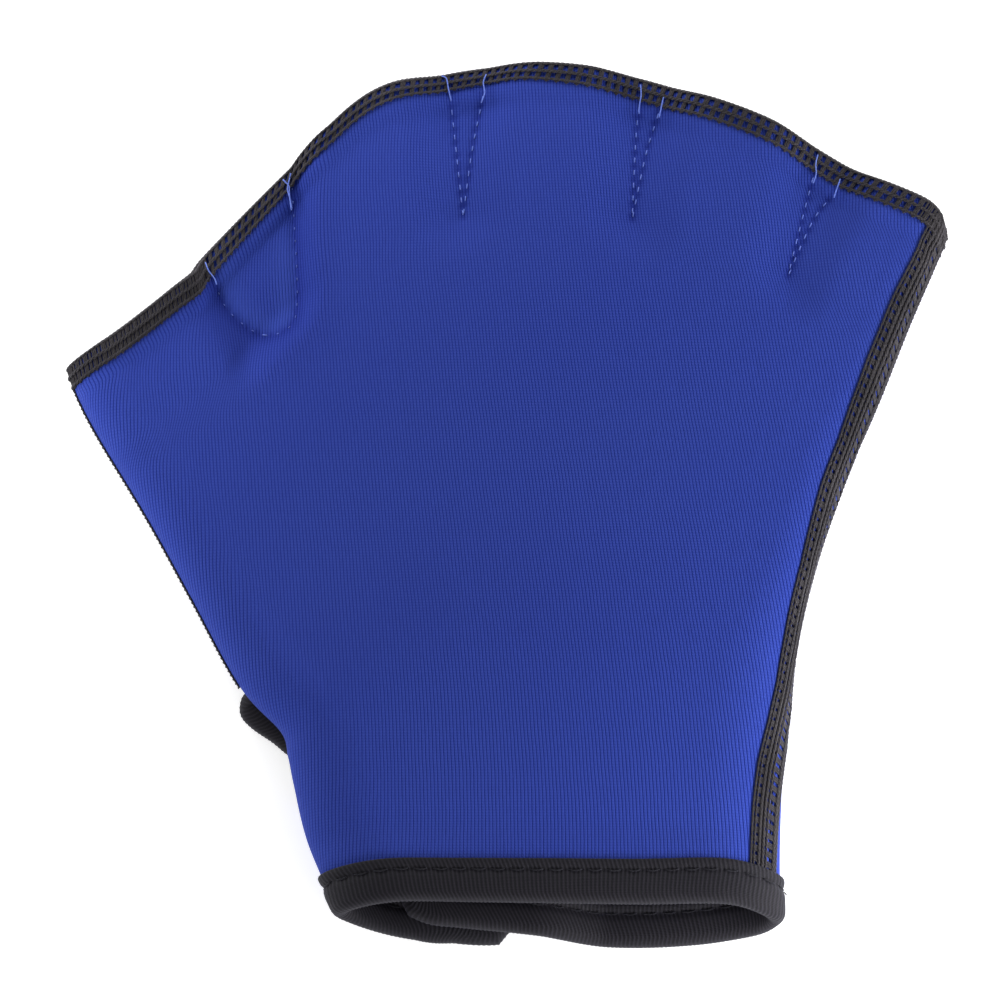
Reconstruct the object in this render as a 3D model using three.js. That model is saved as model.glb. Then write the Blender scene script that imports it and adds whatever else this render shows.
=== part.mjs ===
import * as THREE from "three";

// A neoprene swim glove for the left hand, lying on its back with the palm up.
// X runs from the thumb to the little finger, Y from the wrist to the finger tips, Z is up.
// Two panels are sewn into a flat tube. Short stitch lines between the fingers press them together.

// Cloth, tape and thread, in millimetres
const CLOTH_WIDTH = 203; // fold to fold, from the thumb tip to the little finger
const CLOTH_LENGTH = 208.5; // lowest point of the hem to the edge over the middle finger
const CLOTH = 2.2; // knit faced foam rubber
const TAPE = 0.9; // ribbed binding round the cuff
const TAPE_WIDTH = 10.6;
const TAPE_GROOVE = 0.35; // how deep the row of stitches pulls the tape in
const SERGE = 0.5; // overlock thread along the finger edge
const SERGE_WIDTH = 5.3;
const BAND = 0.7; // flat stitched band over each side seam
const BAND_REACH = 3.6; // how far the band covers each panel
const SEAM_INSET = 4; // side seams lie this far in from the folds
const SEAM_GAP = 0.3;
const CLEAR = 0.3; // between cloth and what is sewn over it
const LAYER_GAP = 0.4; // between pieces that lie on each other

// How far the two panels stand apart, middle of cloth to middle of cloth
const CUFF_RISE = 15;
const PALM_RISE = 12;
const FINGER_RISE = 10.8;
const RISE_ABOVE = 0.56; // share of that above the folds
const FOLD_RADIUS = 2.6;
const PINCH_REACH = 9; // how far a stitch line draws the panels in
const THINS_TO_PALM = [0.28, 0.5]; // where the glove gets thinner, as shares of its length
const THINS_TO_TIPS = [0.6, 1];
const TAPE_EASE = 8; // the cloth comes down from the tape's level over this length
const SERGE_EASE = 5;

// The wrist strap is the end of the palm panel, turned under the back panel
const STRAP_HEIGHT = 33;
const STRAP_DROP = 5.5; // its free end lies this much nearer the wrist than its root
const STRAP_SLOPE = 18; // the back panel climbs onto the strap's free end over this length
const STRAP_CLIMB = 10; // and over this length onto its upper edge
const STRAP_END = -0.0116; // its free end, as a share of the cloth's width from the middle
const STRAP_END_SLANT = 5.8; // its lower corner is cut back by this much
const STRAP_SWEEP = 2.5; // how early its hem drops: 1 is a straight hem
const PATCH_LENGTH = 20; // hook tape on the strap, facing the back panel
const PATCH_HEIGHT = 10;
const PATCH_CORNER = 2;
const PATCH = 1;

// Places along the side edges, as shares of their length from the hem
const STRAP_TOP = 0.19;
const OPENING_CLOSES = 0.38;
const THUMB_SEAM_END = 0.41;

// How finely the curves are followed
const EDGE_STEP = 0.02;
const LENGTH_STEPS = 24;
const CORNER_SEGMENTS = 3;

const SOFT = { roughness: 0.85, metalness: 0 };
const BLUE = new THREE.MeshStandardMaterial({ color: 0x2a3f9e, ...SOFT });
const BLACK_TAPE = new THREE.MeshStandardMaterial({ color: 0x1c1b22, ...SOFT });
const BLACK_THREAD = new THREE.MeshStandardMaterial({ color: 0x15151f, ...SOFT });
const BLACK_HOOK = new THREE.MeshStandardMaterial({ color: 0x101012, ...SOFT });

// Cloth edges seen from above, as shares of the cloth's width (from its middle) and length
const HEM_LEFT = { across: -0.1913, along: 0.03 };
const HEM_RIGHT = { across: 0.3093, along: 0.022 };
const THUMB_TIP = { across: -0.4955, along: 0.6465 };
const LITTLE_TIP = { across: 0.4978, along: 0.798 };
const FINGER_EDGE = [
  THUMB_TIP,
  { across: -0.436, along: 0.687 },
  { across: -0.365, along: 0.744 },
  { across: -0.3435, along: 0.7715 },
  { across: -0.251, along: 0.8665 },
  { across: -0.1585, along: 0.952 },
  { across: -0.066, along: 0.978 },
  { across: 0.0265, along: 0.988 },
  { across: 0.119, along: 0.98 },
  { across: 0.2115, along: 0.9555 },
  { across: 0.304, along: 0.922 },
  { across: 0.397, along: 0.868 },
  { across: 0.4845, along: 0.829 },
  LITTLE_TIP,
];
const THUMB_SIDE = [
  HEM_LEFT,
  { across: -0.2225, along: 0.107 },
  { across: -0.238, along: 0.171 },
  { across: -0.2445, along: 0.203 },
  { across: -0.2535, along: 0.233 },
  { across: -0.2995, along: 0.284 },
  { across: -0.3545, along: 0.3845 },
  { across: -0.4053, along: 0.477 },
  { across: -0.4612, along: 0.57 },
  { across: -0.4855, along: 0.617 },
  THUMB_TIP,
];
const LITTLE_SIDE = [
  HEM_RIGHT,
  { across: 0.3081, along: 0.084 },
  { across: 0.3105, along: 0.1649 },
  { across: 0.3174, along: 0.2458 },
  { across: 0.329, along: 0.3383 },
  { across: 0.3509, along: 0.4308 },
  { across: 0.3822, along: 0.5232 },
  { across: 0.4215, along: 0.6158 },
  { across: 0.4585, along: 0.7086 },
  LITTLE_TIP,
];
const PALM_HEM = [
  HEM_LEFT,
  { across: -0.1272, along: 0.0368 },
  { across: -0.0428, along: 0.0364 },
  { across: 0.0613, along: 0.0351 },
  { across: 0.1538, along: 0.034 },
  { across: 0.2545, along: 0.0345 },
  HEM_RIGHT,
];
const BACK_HEM = [
  HEM_LEFT,
  { across: -0.1238, along: 0.0355 },
  { across: -0.0798, along: 0.0205 },
  { across: 0.0046, along: 0.0117 },
  { across: 0.096, along: 0.0025 },
  { across: 0.1538, along: 0.0006 },
  { across: 0.2117, along: 0.0035 },
  { across: 0.258, along: 0.009 },
  { across: 0.293, along: 0.0145 },
  HEM_RIGHT,
];

// Stitched webs: shares of the finger edge at the mouth, and the closed end as shares
// across and along. The blunt one between thumb and index finger keeps part of its width.
const WEBS = [
  { from: 0.1727, to: 0.2888, rootAcross: 0.2235, rootAlong: 0.85, blunt: 0.5 },
  { from: 0.4731, to: 0.5104, rootAcross: 0.4813, rootAlong: 0.831, blunt: 0 },
  { from: 0.6587, to: 0.6848, rootAcross: 0.6676, rootAlong: 0.835, blunt: 0 },
  { from: 0.8446, to: 0.8746, rootAcross: 0.8514, rootAlong: 0.8364, blunt: 0 },
];
const LINE_HALF = 0.6; // half the least width between a web's two lines
const BESIDE_WEB = [9, 3.5, 0]; // columns of the panels follow each line at these distances

// The open edge of the back panel: how far inside the thumb fold it runs, at places along it
const OPENING = [
  { along: 0, inside: 17.4 },
  { along: 0.13, inside: 15 },
  { along: STRAP_TOP, inside: 10.5 },
  { along: 0.235, inside: 8 },
  { along: 0.275, inside: 1.4 },
  { along: 0.31, inside: -1.4 },
  { along: 0.345, inside: -2.5 },
  { along: OPENING_CLOSES, inside: -1.6 },
  { along: THUMB_SEAM_END, inside: SEAM_INSET },
];

const { lerp, clamp, smoothstep } = THREE.MathUtils;

function outline(rows) {
  const toPoint = ({ across, along }) => new THREE.Vector2(across * CLOTH_WIDTH, along * CLOTH_LENGTH);
  return new THREE.SplineCurve(rows.map(toPoint));
}

const FINGERS = outline(FINGER_EDGE);
const THUMB_FOLD = outline(THUMB_SIDE);
const LITTLE_FOLD = outline(LITTLE_SIDE);
const HEMS = { palm: outline(PALM_HEM), back: outline(BACK_HEM) };

// Each panel's plan is a grid stretched between its hem, the finger edge and the two folds
function planPoint(side, across, along) {
  const hem = HEMS[side];
  const u = clamp(across, 0, 1);
  const v = clamp(along, 0, 1);
  const point = new THREE.Vector2();
  point.addScaledVector(hem.getPointAt(u), 1 - v).addScaledVector(FINGERS.getPointAt(u), v);
  point.addScaledVector(THUMB_FOLD.getPointAt(v), 1 - u).addScaledVector(LITTLE_FOLD.getPointAt(v), u);
  point.addScaledVector(hem.points[0], -(1 - u) * (1 - v)).addScaledVector(hem.points.at(-1), -u * (1 - v));
  point.addScaledVector(FINGERS.points[0], -(1 - u) * v).addScaledVector(FINGERS.points.at(-1), -u * v);
  if (across >= 0) return point;
  const inward = planPoint(side, EDGE_STEP, along).sub(point);
  return point.addScaledVector(inward, across / EDGE_STEP);
}

const rowLengths = new Map();
function rowLength(along) {
  if (rowLengths.has(along)) return rowLengths.get(along);
  let length = 0;
  for (let i = 1; i <= LENGTH_STEPS; i++) {
    const before = planPoint("palm", (i - 1) / LENGTH_STEPS, along);
    length += planPoint("palm", i / LENGTH_STEPS, along).distanceTo(before);
  }
  rowLengths.set(along, length);
  return length;
}

function columnLength(side, across) {
  return planPoint(side, across, 0).distanceTo(planPoint(side, across, 1));
}

// Rows of the panels, given from the hem, as a share, or from the finger edge
const COVER = 0.95; // share of an edge row that its binding covers
const TAPE_HALF = CLOTH / 2 + CLEAR + TAPE; // half the thickness of a bound edge
const SERGE_OUT = CLEAR + SERGE; // how far the overlocking stands off the cloth
const TAPE_ROW = (TAPE_WIDTH - TAPE_HALF) / COVER;
const SERGE_ROW = (SERGE_WIDTH - SERGE_OUT) / COVER;
const STRAP_SHOULDER = STRAP_TOP - TAPE_ROW / THUMB_FOLD.getLength();
const SHARES = [
  ...[STRAP_SHOULDER, STRAP_TOP, 0.235, 0.275, 0.31, 0.345, OPENING_CLOSES, THUMB_SEAM_END],
  ...[0.48, 0.55, 0.62, 0.68, 0.74, 0.79, 0.84, 0.885, 0.93],
];
const ROWS = [
  { fromHem: 0 },
  { fromHem: TAPE_ROW },
  ...SHARES.map((share) => ({ share })),
  { fromTips: SERGE_ROW },
  { fromTips: 0 },
];
const LAST_ROW = ROWS.length - 1;
const SHOULDER_ROW = 2;
const STRAP_ROW = 3;
const SEAM_ROW = 2 + SHARES.indexOf(THUMB_SEAM_END);

function rowPlace(side, row, across) {
  if (row.share !== undefined) return row.share;
  const length = columnLength(side, clamp(across, 0, 1));
  return row.fromHem !== undefined ? row.fromHem / length : 1 - row.fromTips / length;
}

// Height of the cloth's middle surface
function rise(along) {
  const belowFingers = lerp(CUFF_RISE, PALM_RISE, smoothstep(along, ...THINS_TO_PALM));
  return lerp(belowFingers, FINGER_RISE, smoothstep(along, ...THINS_TO_TIPS));
}

function foldDepth(along) {
  return ((1 - RISE_ABOVE) * rise(along)) ** 2 / FOLD_RADIUS;
}

function webLines(web, along) {
  const share = clamp((along - web.rootAlong) / (1 - web.rootAlong), 0, 1);
  const mouthHalf = ((web.to - web.from) / 2) * rowLength(1);
  return {
    middle: lerp(web.rootAcross, (web.from + web.to) / 2, share),
    half: Math.max(lerp(web.blunt, 1, share) * mouthHalf, LINE_HALF),
  };
}

function webDistance(across, along) {
  const distances = WEBS.map((web) => {
    const { middle, half } = webLines(web, along);
    const beside = Math.max(Math.abs(across - middle) * rowLength(along) - half, 0);
    const below = Math.max(web.rootAlong - along, 0) * columnLength("palm", clamp(across, 0, 1));
    return Math.hypot(beside, below);
  });
  return Math.min(...distances);
}

// Both panels are lifted where tape, thread or a seam band lies under their edges
function edgeLift(side, across, along) {
  const length = columnLength(side, clamp(across, 0, 1));
  const tape = 1 - smoothstep(along * length, TAPE_ROW, TAPE_ROW + TAPE_EASE);
  const thread = 1 - smoothstep((1 - along) * length, SERGE_ROW, SERGE_ROW + SERGE_EASE);
  const bandEnd = SEAM_INSET + BAND_REACH;
  const beside = 1 - smoothstep(across * rowLength(along), bandEnd, 2 * bandEnd);
  const seam = beside * smoothstep(along, STRAP_TOP, THUMB_SEAM_END) * (CLEAR + BAND);
  const threadOut = thread * SERGE_OUT;
  return { total: tape * (TAPE_HALF - CLOTH / 2) + Math.max(threadOut, seam), thread: threadOut };
}

function separation(side, across, along) {
  const inside = Math.max(Math.min(across, 1 - across), 0) * rowLength(along);
  const full = rise(along) * Math.sqrt(1 - (1 - Math.min(inside / foldDepth(along), 1)) ** 2);
  const least = CLOTH + LAYER_GAP + 2 * edgeLift(side, across, along).thread;
  if (full < least) return full;
  const pull = Math.sin((Math.PI / 2) * Math.min(webDistance(across, along) / PINCH_REACH, 1));
  return lerp(least, full, pull);
}

function foldLevel(side, across, along) {
  return CLOTH / 2 + edgeLift(side, across, along).total + (1 - RISE_ABOVE) * rise(along);
}

function palmPoint(across, along) {
  const plan = planPoint("palm", across, along);
  const height = foldLevel("palm", across, along) + RISE_ABOVE * separation("palm", across, along);
  return new THREE.Vector3(plan.x, plan.y, height);
}

function openingInside(along) {
  const next = OPENING.findIndex((row) => row.along >= along);
  if (next < 1) return next === 0 ? OPENING[0].inside : SEAM_INSET;
  const [a, b] = [OPENING[next - 1], OPENING[next]];
  return lerp(a.inside, b.inside, (along - a.along) / (b.along - a.along));
}

// The strap lies flat on the ground, and the back panel climbs over it
const STRAP_LEVEL = TAPE_HALF;
const OVER_STRAP = STRAP_LEVEL + 2 * TAPE_HALF + LAYER_GAP;
const STRAP_ROOT = planPoint("palm", 0, STRAP_TOP);
const STRAP_HEM_END = new THREE.Vector2(STRAP_END * CLOTH_WIDTH, HEM_LEFT.along * CLOTH_LENGTH - STRAP_DROP);

function backPoint(across, along) {
  const plan = planPoint("back", across, along);
  const below = (1 - RISE_ABOVE) * separation("back", across, along);
  const ring = foldLevel("back", across, along) - below;
  const inside = openingInside(along);
  const fromOpening = across * rowLength(along) - inside;
  const underTape = 1 - smoothstep(fromOpening, TAPE_ROW, 2 * TAPE_ROW);
  const lift = Math.max(edgeLift("back", across, along).total, (TAPE_HALF - CLOTH / 2) * underTape);
  const sewn = across > 0.5 ? 1 : smoothstep(along, OPENING_CLOSES, THUMB_SEAM_END);
  const atOpening = planPoint("back", inside / rowLength(along), along);
  const level = plan.clone().lerp(atOpening, underTape);
  const margin = TAPE_HALF + LAYER_GAP;
  const end = STRAP_HEM_END.x + STRAP_END_SLANT + margin;
  const pastEnd = smoothstep(level.x, end, end + STRAP_SLOPE);
  const share = clamp((level.x - STRAP_ROOT.x) / (STRAP_HEM_END.x - STRAP_ROOT.x), 0, 1);
  const top = lerp(STRAP_ROOT.y, STRAP_HEM_END.y + STRAP_HEIGHT, share) + margin;
  const pastTop = smoothstep(level.y, top, top + STRAP_CLIMB);
  const onStrap = (1 - pastEnd) * (1 - pastTop);
  const height = lerp(lerp(CLOTH / 2 + lift, ring, sewn), OVER_STRAP, onStrap);
  return new THREE.Vector3(plan.x, plan.y, height);
}

// Columns of the panels: each gives its place across at any place along.
// They run evenly at the cuff and turn to follow the webs between these shares of the length.
const COLUMNS_TURN = [0.4, 0.65];
const fromThumb = (inset) => (along) => inset(along) / rowLength(along);
const fromLittle = (inset) => (along) => 1 - inset(along) / rowLength(along);
const FOLD_STEPS = [0, 0.049, 0.234, 0.577]; // shares of the fold's depth
const SEAM_STEPS = [0.3, 1.6]; // between a fold and its seam
const roundFold = FOLD_STEPS.map((share) => (along) => share * foldDepth(along));
const fixed = (inset) => () => inset;

function middleColumns(first, last) {
  const beside = WEBS.flatMap((web) => [
    ...BESIDE_WEB.map((offset) => ({ web, offset, sign: -1 })),
    ...BESIDE_WEB.toReversed().map((offset) => ({ web, offset, sign: 1 })),
  ]);
  const followWeb = ({ web, offset, sign }) => (along) => {
    const { middle, half } = webLines(web, along);
    const scale = rowLength(along) / rowLength(1);
    return middle + (sign * (half + offset * scale)) / rowLength(along);
  };
  const lines = beside.map(followWeb);
  const halfway = (a, b) => (along) => lerp(a(along), b(along), 0.5);
  const perWeb = 2 * BESIDE_WEB.length;
  const follow = lines.flatMap((line, k) => {
    const beforeWeb = k % perWeb ? [] : [halfway(lines[k - 1] ?? first, line)];
    return [...beforeWeb, line];
  });
  return follow.map((column, k) => (along) => {
    const even = lerp(first(along), last(along), (k + 1) / (follow.length + 1));
    return lerp(even, column(along), smoothstep(along, ...COLUMNS_TURN));
  });
}

const onPalm = (across) => ({ side: "palm", across });
const onBack = (across) => ({ side: "back", across });

function columnPoint({ side, across }, rowIndex) {
  const row = ROWS[rowIndex];
  const guess = row.share ?? (row.fromHem === undefined ? 1 : 0);
  const along = rowPlace(side, row, across(guess));
  const place = across(along);
  return side === "palm" ? palmPoint(place, along) : backPoint(place, along);
}

// The strap, turned under the thumb fold, by distance along it
const STRAP_FOLD_STEPS = [0.06, 0.234, 0.577, 1]; // shares of the fold's depth
function strapPoint(step, rowIndex) {
  const along = rowPlace("palm", ROWS[rowIndex], 0);
  const root = palmPoint(0, along);
  const drop = root.z - STRAP_LEVEL;
  const depth = drop ** 2 / FOLD_RADIUS;
  const heights = [0, TAPE_ROW, STRAP_HEIGHT - TAPE_ROW, STRAP_HEIGHT];
  const slant = [0, STRAP_END_SLANT, STRAP_END_SLANT, STRAP_END_SLANT / 2][rowIndex];
  const end = new THREE.Vector2(STRAP_HEM_END.x + slant, STRAP_HEM_END.y + heights[rowIndex]);
  const reach = end.x - root.x;
  const flat = [lerp(depth, reach - TAPE_ROW, 0.5), reach - TAPE_ROW, reach];
  const inside = [...STRAP_FOLD_STEPS.map((share) => share * depth), ...flat][step];
  const turned = Math.min(inside / depth, 1);
  const height = root.z - drop * Math.sqrt(1 - (1 - turned) ** 2);
  const share = inside / reach;
  const dropped = rowIndex < SHOULDER_ROW ? 1 - (1 - share) ** STRAP_SWEEP : share;
  return new THREE.Vector3(root.x + inside, lerp(root.y, end.y, dropped), height);
}
const STRAP_STEPS = STRAP_FOLD_STEPS.length + 3;

// A grid holds the middle surface: columns of points, empty where a panel has no cloth
function makeGrid(columns) {
  const points = columns.map((column) => ROWS.map((row, j) => column(j)));
  const at = (i, j) => points[i]?.[j];
  const facing = (i, j) => {
    const corners = [at(i, j), at(i + 1, j), at(i + 1, j + 1), at(i, j + 1)];
    if (!corners.every(Boolean)) return new THREE.Vector3();
    const rising = corners[2].clone().sub(corners[0]);
    const falling = corners[3].clone().sub(corners[1]);
    return rising.cross(falling).normalize();
  };
  const normals = points.map((column, i) =>
    column.map((point, j) => {
      const sum = facing(i, j).add(facing(i - 1, j)).add(facing(i, j - 1)).add(facing(i - 1, j - 1));
      return point ? sum.normalize() : null;
    }),
  );
  return { points, normals, at };
}

function meshOf(name, material, positions, triangles) {
  const geometry = new THREE.BufferGeometry();
  const flat = positions.flatMap((point) => [point.x, point.y, point.z]);
  geometry.setAttribute("position", new THREE.Float32BufferAttribute(flat, 3));
  geometry.setIndex(triangles.flat());
  geometry.computeVertexNormals();
  const mesh = new THREE.Mesh(geometry, material);
  mesh.name = name;
  return mesh;
}

// A sheet of even thickness over the cells of a grid that keep(i, j) accepts
function sheet(name, material, grid, keep, thickness, offset = 0) {
  const positions = [];
  const triangles = [];
  const known = new Map();
  const corner = (i, j, outer) => {
    const key = [i, j, outer].join();
    if (!known.has(key)) {
      known.set(key, positions.length);
      const away = offset + (outer ? thickness : -thickness) / 2;
      positions.push(grid.points[i][j].clone().addScaledVector(grid.normals[i][j], away));
    }
    return known.get(key);
  };
  const kept = (i, j) =>
    j >= 0 && j < LAST_ROW && keep(i, j) &&
    [grid.at(i, j), grid.at(i + 1, j), grid.at(i + 1, j + 1), grid.at(i, j + 1)].every(Boolean);
  grid.points.forEach((column, i) => {
    for (let j = 0; j < LAST_ROW; j++) {
      if (!kept(i, j)) continue;
      const ring = [[i, j], [i + 1, j], [i + 1, j + 1], [i, j + 1]];
      const outer = ring.map(([a, b]) => corner(a, b, true));
      const inner = ring.map(([a, b]) => corner(a, b, false));
      triangles.push([outer[0], outer[1], outer[2]], [outer[0], outer[2], outer[3]]);
      triangles.push([inner[2], inner[1], inner[0]], [inner[3], inner[2], inner[0]]);
      const beside = [[i, j - 1], [i + 1, j], [i, j + 1], [i - 1, j]];
      beside.forEach(([a, b], side) => {
        if (kept(a, b)) return;
        const next = (side + 1) % 4;
        triangles.push([inner[side], inner[next], outer[next]], [inner[side], outer[next], outer[side]]);
      });
    }
  });
  return meshOf(name, material, positions, triangles);
}

// A folded trim along an edge. A station holds the edge point, the point one grid cell
// further in, and their normals. A profile point lies in on the cloth or out past its edge.
function trim(name, material, stations, profile) {
  const positions = stations.flatMap(({ edge, inner, edgeNormal, innerNormal }) => {
    const outward = edge.clone().sub(inner).normalize();
    return profile.map(({ share, out, up }) => {
      const normal = edgeNormal.clone().lerp(innerNormal, share * COVER).normalize();
      const point = edge.clone().lerp(inner, share * COVER);
      return point.addScaledVector(outward, out).addScaledVector(normal, up);
    });
  });
  const count = profile.length;
  const triangles = [];
  for (let k = 0; k + 1 < stations.length; k++) {
    for (let m = 0; m < count; m++) {
      const [a, b] = [k * count + m, k * count + ((m + 1) % count)];
      triangles.push([a, b, b + count], [a, b + count, a + count]);
    }
  }
  const section = profile.map(({ share, out, up }) => new THREE.Vector2(share * TAPE_WIDTH - out, up));
  const last = (stations.length - 1) * count;
  THREE.ShapeUtils.triangulateShape(section, []).forEach((cap) => {
    const turn = THREE.ShapeUtils.area(cap.map((m) => section[m])) * THREE.ShapeUtils.area(section);
    const [a, b, c] = turn > 0 ? cap : cap.toReversed();
    triangles.push([c, b, a], [last + a, last + b, last + c]);
  });
  return meshOf(name, material, positions, triangles);
}

function station(grid, [i, j], [innerI, innerJ], flip = 1) {
  return {
    edge: grid.points[i][j],
    inner: grid.points[innerI][innerJ],
    edgeNormal: grid.normals[i][j].clone().multiplyScalar(flip),
    innerNormal: grid.normals[innerI][innerJ].clone().multiplyScalar(flip),
  };
}

// The palm panel's columns, from the strap's free end, round the thumb fold, to the side seam
const seamSide = (inset) => inset - SEAM_GAP / 2;
const seamFar = (inset) => inset + SEAM_GAP / 2;
const palmFolded = [SEAM_INSET + BAND_REACH, seamSide(SEAM_INSET), SEAM_STEPS[1], SEAM_STEPS[0]];
const palmUnder = palmFolded.map((inset) => onBack(fromThumb(fixed(inset))));
const palmLeft = roundFold.map((inset) => onPalm(fromThumb(inset)));
const palmRight = [SEAM_INSET + BAND_REACH, seamFar(SEAM_INSET), SEAM_STEPS[1]].map((inset) =>
  onPalm(fromLittle(fixed(inset))),
);
const palmMiddle = middleColumns(palmLeft.at(-1).across, palmRight[0].across).map(onPalm);
const underColumn = (k) => (j) => {
  if (j <= STRAP_ROW) return strapPoint(STRAP_STEPS - 1 - k, j);
  const sewn = k - (STRAP_STEPS - palmUnder.length);
  return j >= SEAM_ROW && sewn >= 0 ? columnPoint(palmUnder[sewn], j) : null;
};
const palmGrid = makeGrid([
  ...Array.from({ length: STRAP_STEPS }, (unused, k) => underColumn(k)),
  ...[...palmLeft, ...palmMiddle, ...palmRight].map((column) => (j) => columnPoint(column, j)),
]);
const PALM_FOLD = STRAP_STEPS;
const PALM_SEAM = palmGrid.points.length - 2;
const PALM_UNDER = STRAP_STEPS - palmUnder.length + 1;

// The back panel's columns, from the thumb seam and the opening, round the little finger fold
const openingColumn = (beyond, sewnInset) => (along) => {
  const sewn = along >= THUMB_SEAM_END;
  const open = openingInside(along) + beyond;
  return (sewn ? sewnInset : open) / rowLength(along);
};
const backLeft = [
  openingColumn(0, seamFar(SEAM_INSET)),
  openingColumn(TAPE_ROW / 2, SEAM_INSET + BAND_REACH),
  openingColumn(TAPE_ROW, SEAM_INSET + TAPE_ROW),
].map(onBack);
const backRight = [...roundFold].reverse().map((inset) => onBack(fromLittle(inset)));
const backWrap = [...SEAM_STEPS, seamSide(SEAM_INSET), SEAM_INSET + BAND_REACH].map((inset) =>
  onPalm(fromLittle(fixed(inset))),
);
const backMiddle = middleColumns(backLeft.at(-1).across, backRight[0].across).map(onBack);
const backGhost = (j) => (j >= SEAM_ROW ? columnPoint(onBack(fromThumb(fixed(SEAM_STEPS[1]))), j) : null);
const [backOuter, backBetween, backInner] = backLeft.map((column) => (j) => columnPoint(column, j));
const backHalfway = (j) => (j >= SEAM_ROW ? backBetween(j) : backOuter(j).lerp(backInner(j), 0.5));
const backRest = [...backMiddle, ...backRight, ...backWrap].map((column) => (j) => columnPoint(column, j));
const backGrid = makeGrid([backGhost, backOuter, backHalfway, backInner, ...backRest]);
const BACK_EDGE = 1;
const BACK_SEAM = backGrid.points.length - 2;

function palmPanel() {
  const keep = (i, j) => i < PALM_SEAM && (j < STRAP_ROW || i >= PALM_UNDER);
  return sheet("palm_panel", BLUE, palmGrid, keep, CLOTH);
}

function backPanel() {
  const keep = (i) => i >= BACK_EDGE && i < BACK_SEAM;
  return sheet("back_panel", BLUE, backGrid, keep, CLOTH);
}

function seamBand(name, columns, firstRow) {
  const grid = makeGrid(columns.map((column) => (j) => columnPoint(column, j)));
  const keep = (i, j) => j >= firstRow && j < LAST_ROW - 1;
  return sheet(name, BLACK_THREAD, grid, keep, BAND, CLOTH / 2 + CLEAR + BAND / 2);
}

function sideSeam() {
  const insets = [SEAM_INSET + BAND_REACH, SEAM_INSET, SEAM_STEPS[1], SEAM_STEPS[0]];
  return seamBand("side_seam", insets.map((inset) => onPalm(fromLittle(fixed(inset)))), 1);
}

function thumbSeam() {
  const under = [SEAM_INSET + BAND_REACH, SEAM_INSET, SEAM_STEPS[1], SEAM_STEPS[0]];
  const columns = under.map((inset) => onBack(fromThumb(fixed(inset))));
  return seamBand("thumb_seam", [...columns, onPalm(fromThumb(fixed(0)))], SEAM_ROW);
}

// Sections of the trims, once round: over the outside, round the edge and back inside
const GROOVE = { from: 0.45, to: 0.64 }; // shares of the tape's width from the cloth's edge
function tapeProfile() {
  const inner = CLOTH / 2 + CLEAR;
  const bevel = TAPE_HALF * Math.SQRT1_2;
  const leg = [
    { share: 1, out: 0, up: TAPE_HALF - TAPE_GROOVE / 2 },
    { share: GROOVE.to, out: 0, up: TAPE_HALF - TAPE_GROOVE },
    { share: GROOVE.from, out: 0, up: TAPE_HALF },
    { share: 0, out: 0, up: TAPE_HALF },
    { share: 0, out: bevel, up: bevel },
  ];
  const mirrored = leg.toReversed().map((point) => ({ ...point, up: -point.up }));
  return [
    ...[...leg, { share: 0, out: TAPE_HALF, up: 0 }, ...mirrored],
    { share: 1, out: 0, up: -inner },
    { share: 0, out: 0, up: -inner },
    { share: 0, out: inner, up: 0 },
    { share: 0, out: 0, up: inner },
    { share: 1, out: 0, up: inner },
  ];
}

function sergeProfile() {
  const inner = CLOTH / 2 + CLEAR;
  const outer = inner + SERGE;
  return [
    { share: 1, out: 0, up: outer },
    { share: 0, out: 0, up: outer },
    { share: 0, out: SERGE_OUT, up: CLOTH / 2 },
    { share: 0, out: SERGE_OUT, up: -CLOTH / 2 },
    { share: 0, out: 0, up: -outer },
    { share: 1, out: 0, up: -outer },
    { share: 1, out: 0, up: -inner },
    { share: 0, out: CLEAR, up: -inner },
    { share: 0, out: CLEAR, up: inner },
    { share: 1, out: 0, up: inner },
  ];
}

const range = (from, to) => Array.from({ length: Math.abs(to - from) + 1 }, (unused, k) =>
  to > from ? from + k : from - k,
);

// One tape runs round the strap's end, along the palm's hem, round the little finger
// fold, back along the hem of the back panel and up the opening
function cuffTape() {
  const top = STRAP_ROW;
  const opening = SEAM_ROW - 1;
  const stations = [
    ...range(2, 1).map((i) => station(palmGrid, [i, top], [i, top - 1])),
    station(palmGrid, [0, top], [1, top - 1]),
    ...range(top - 1, 1).map((j) => station(palmGrid, [0, j], [1, j])),
    station(palmGrid, [0, 0], [1, 1]),
    ...range(1, PALM_SEAM).map((i) => station(palmGrid, [i, 0], [i, 1])),
    ...range(BACK_SEAM, BACK_EDGE + 2).map((i) => station(backGrid, [i, 0], [i, 1], -1)),
    station(backGrid, [BACK_EDGE + 1, 0], [BACK_EDGE + 2, 1], -1),
    station(backGrid, [BACK_EDGE, 0], [BACK_EDGE + 2, 1], -1),
    ...range(1, opening).map((j) => station(backGrid, [BACK_EDGE, j], [BACK_EDGE + 2, j], -1)),
  ];
  return trim("cuff_tape", BLACK_TAPE, stations, tapeProfile());
}

function fingerEdge(name, grid, first, last, flip) {
  const ends = flip > 0 ? range(first, last) : range(last, first);
  const stations = ends.map((i) => station(grid, [i, LAST_ROW], [i, LAST_ROW - 1], flip));
  return trim(name, BLACK_THREAD, stations.reverse(), sergeProfile());
}

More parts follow.
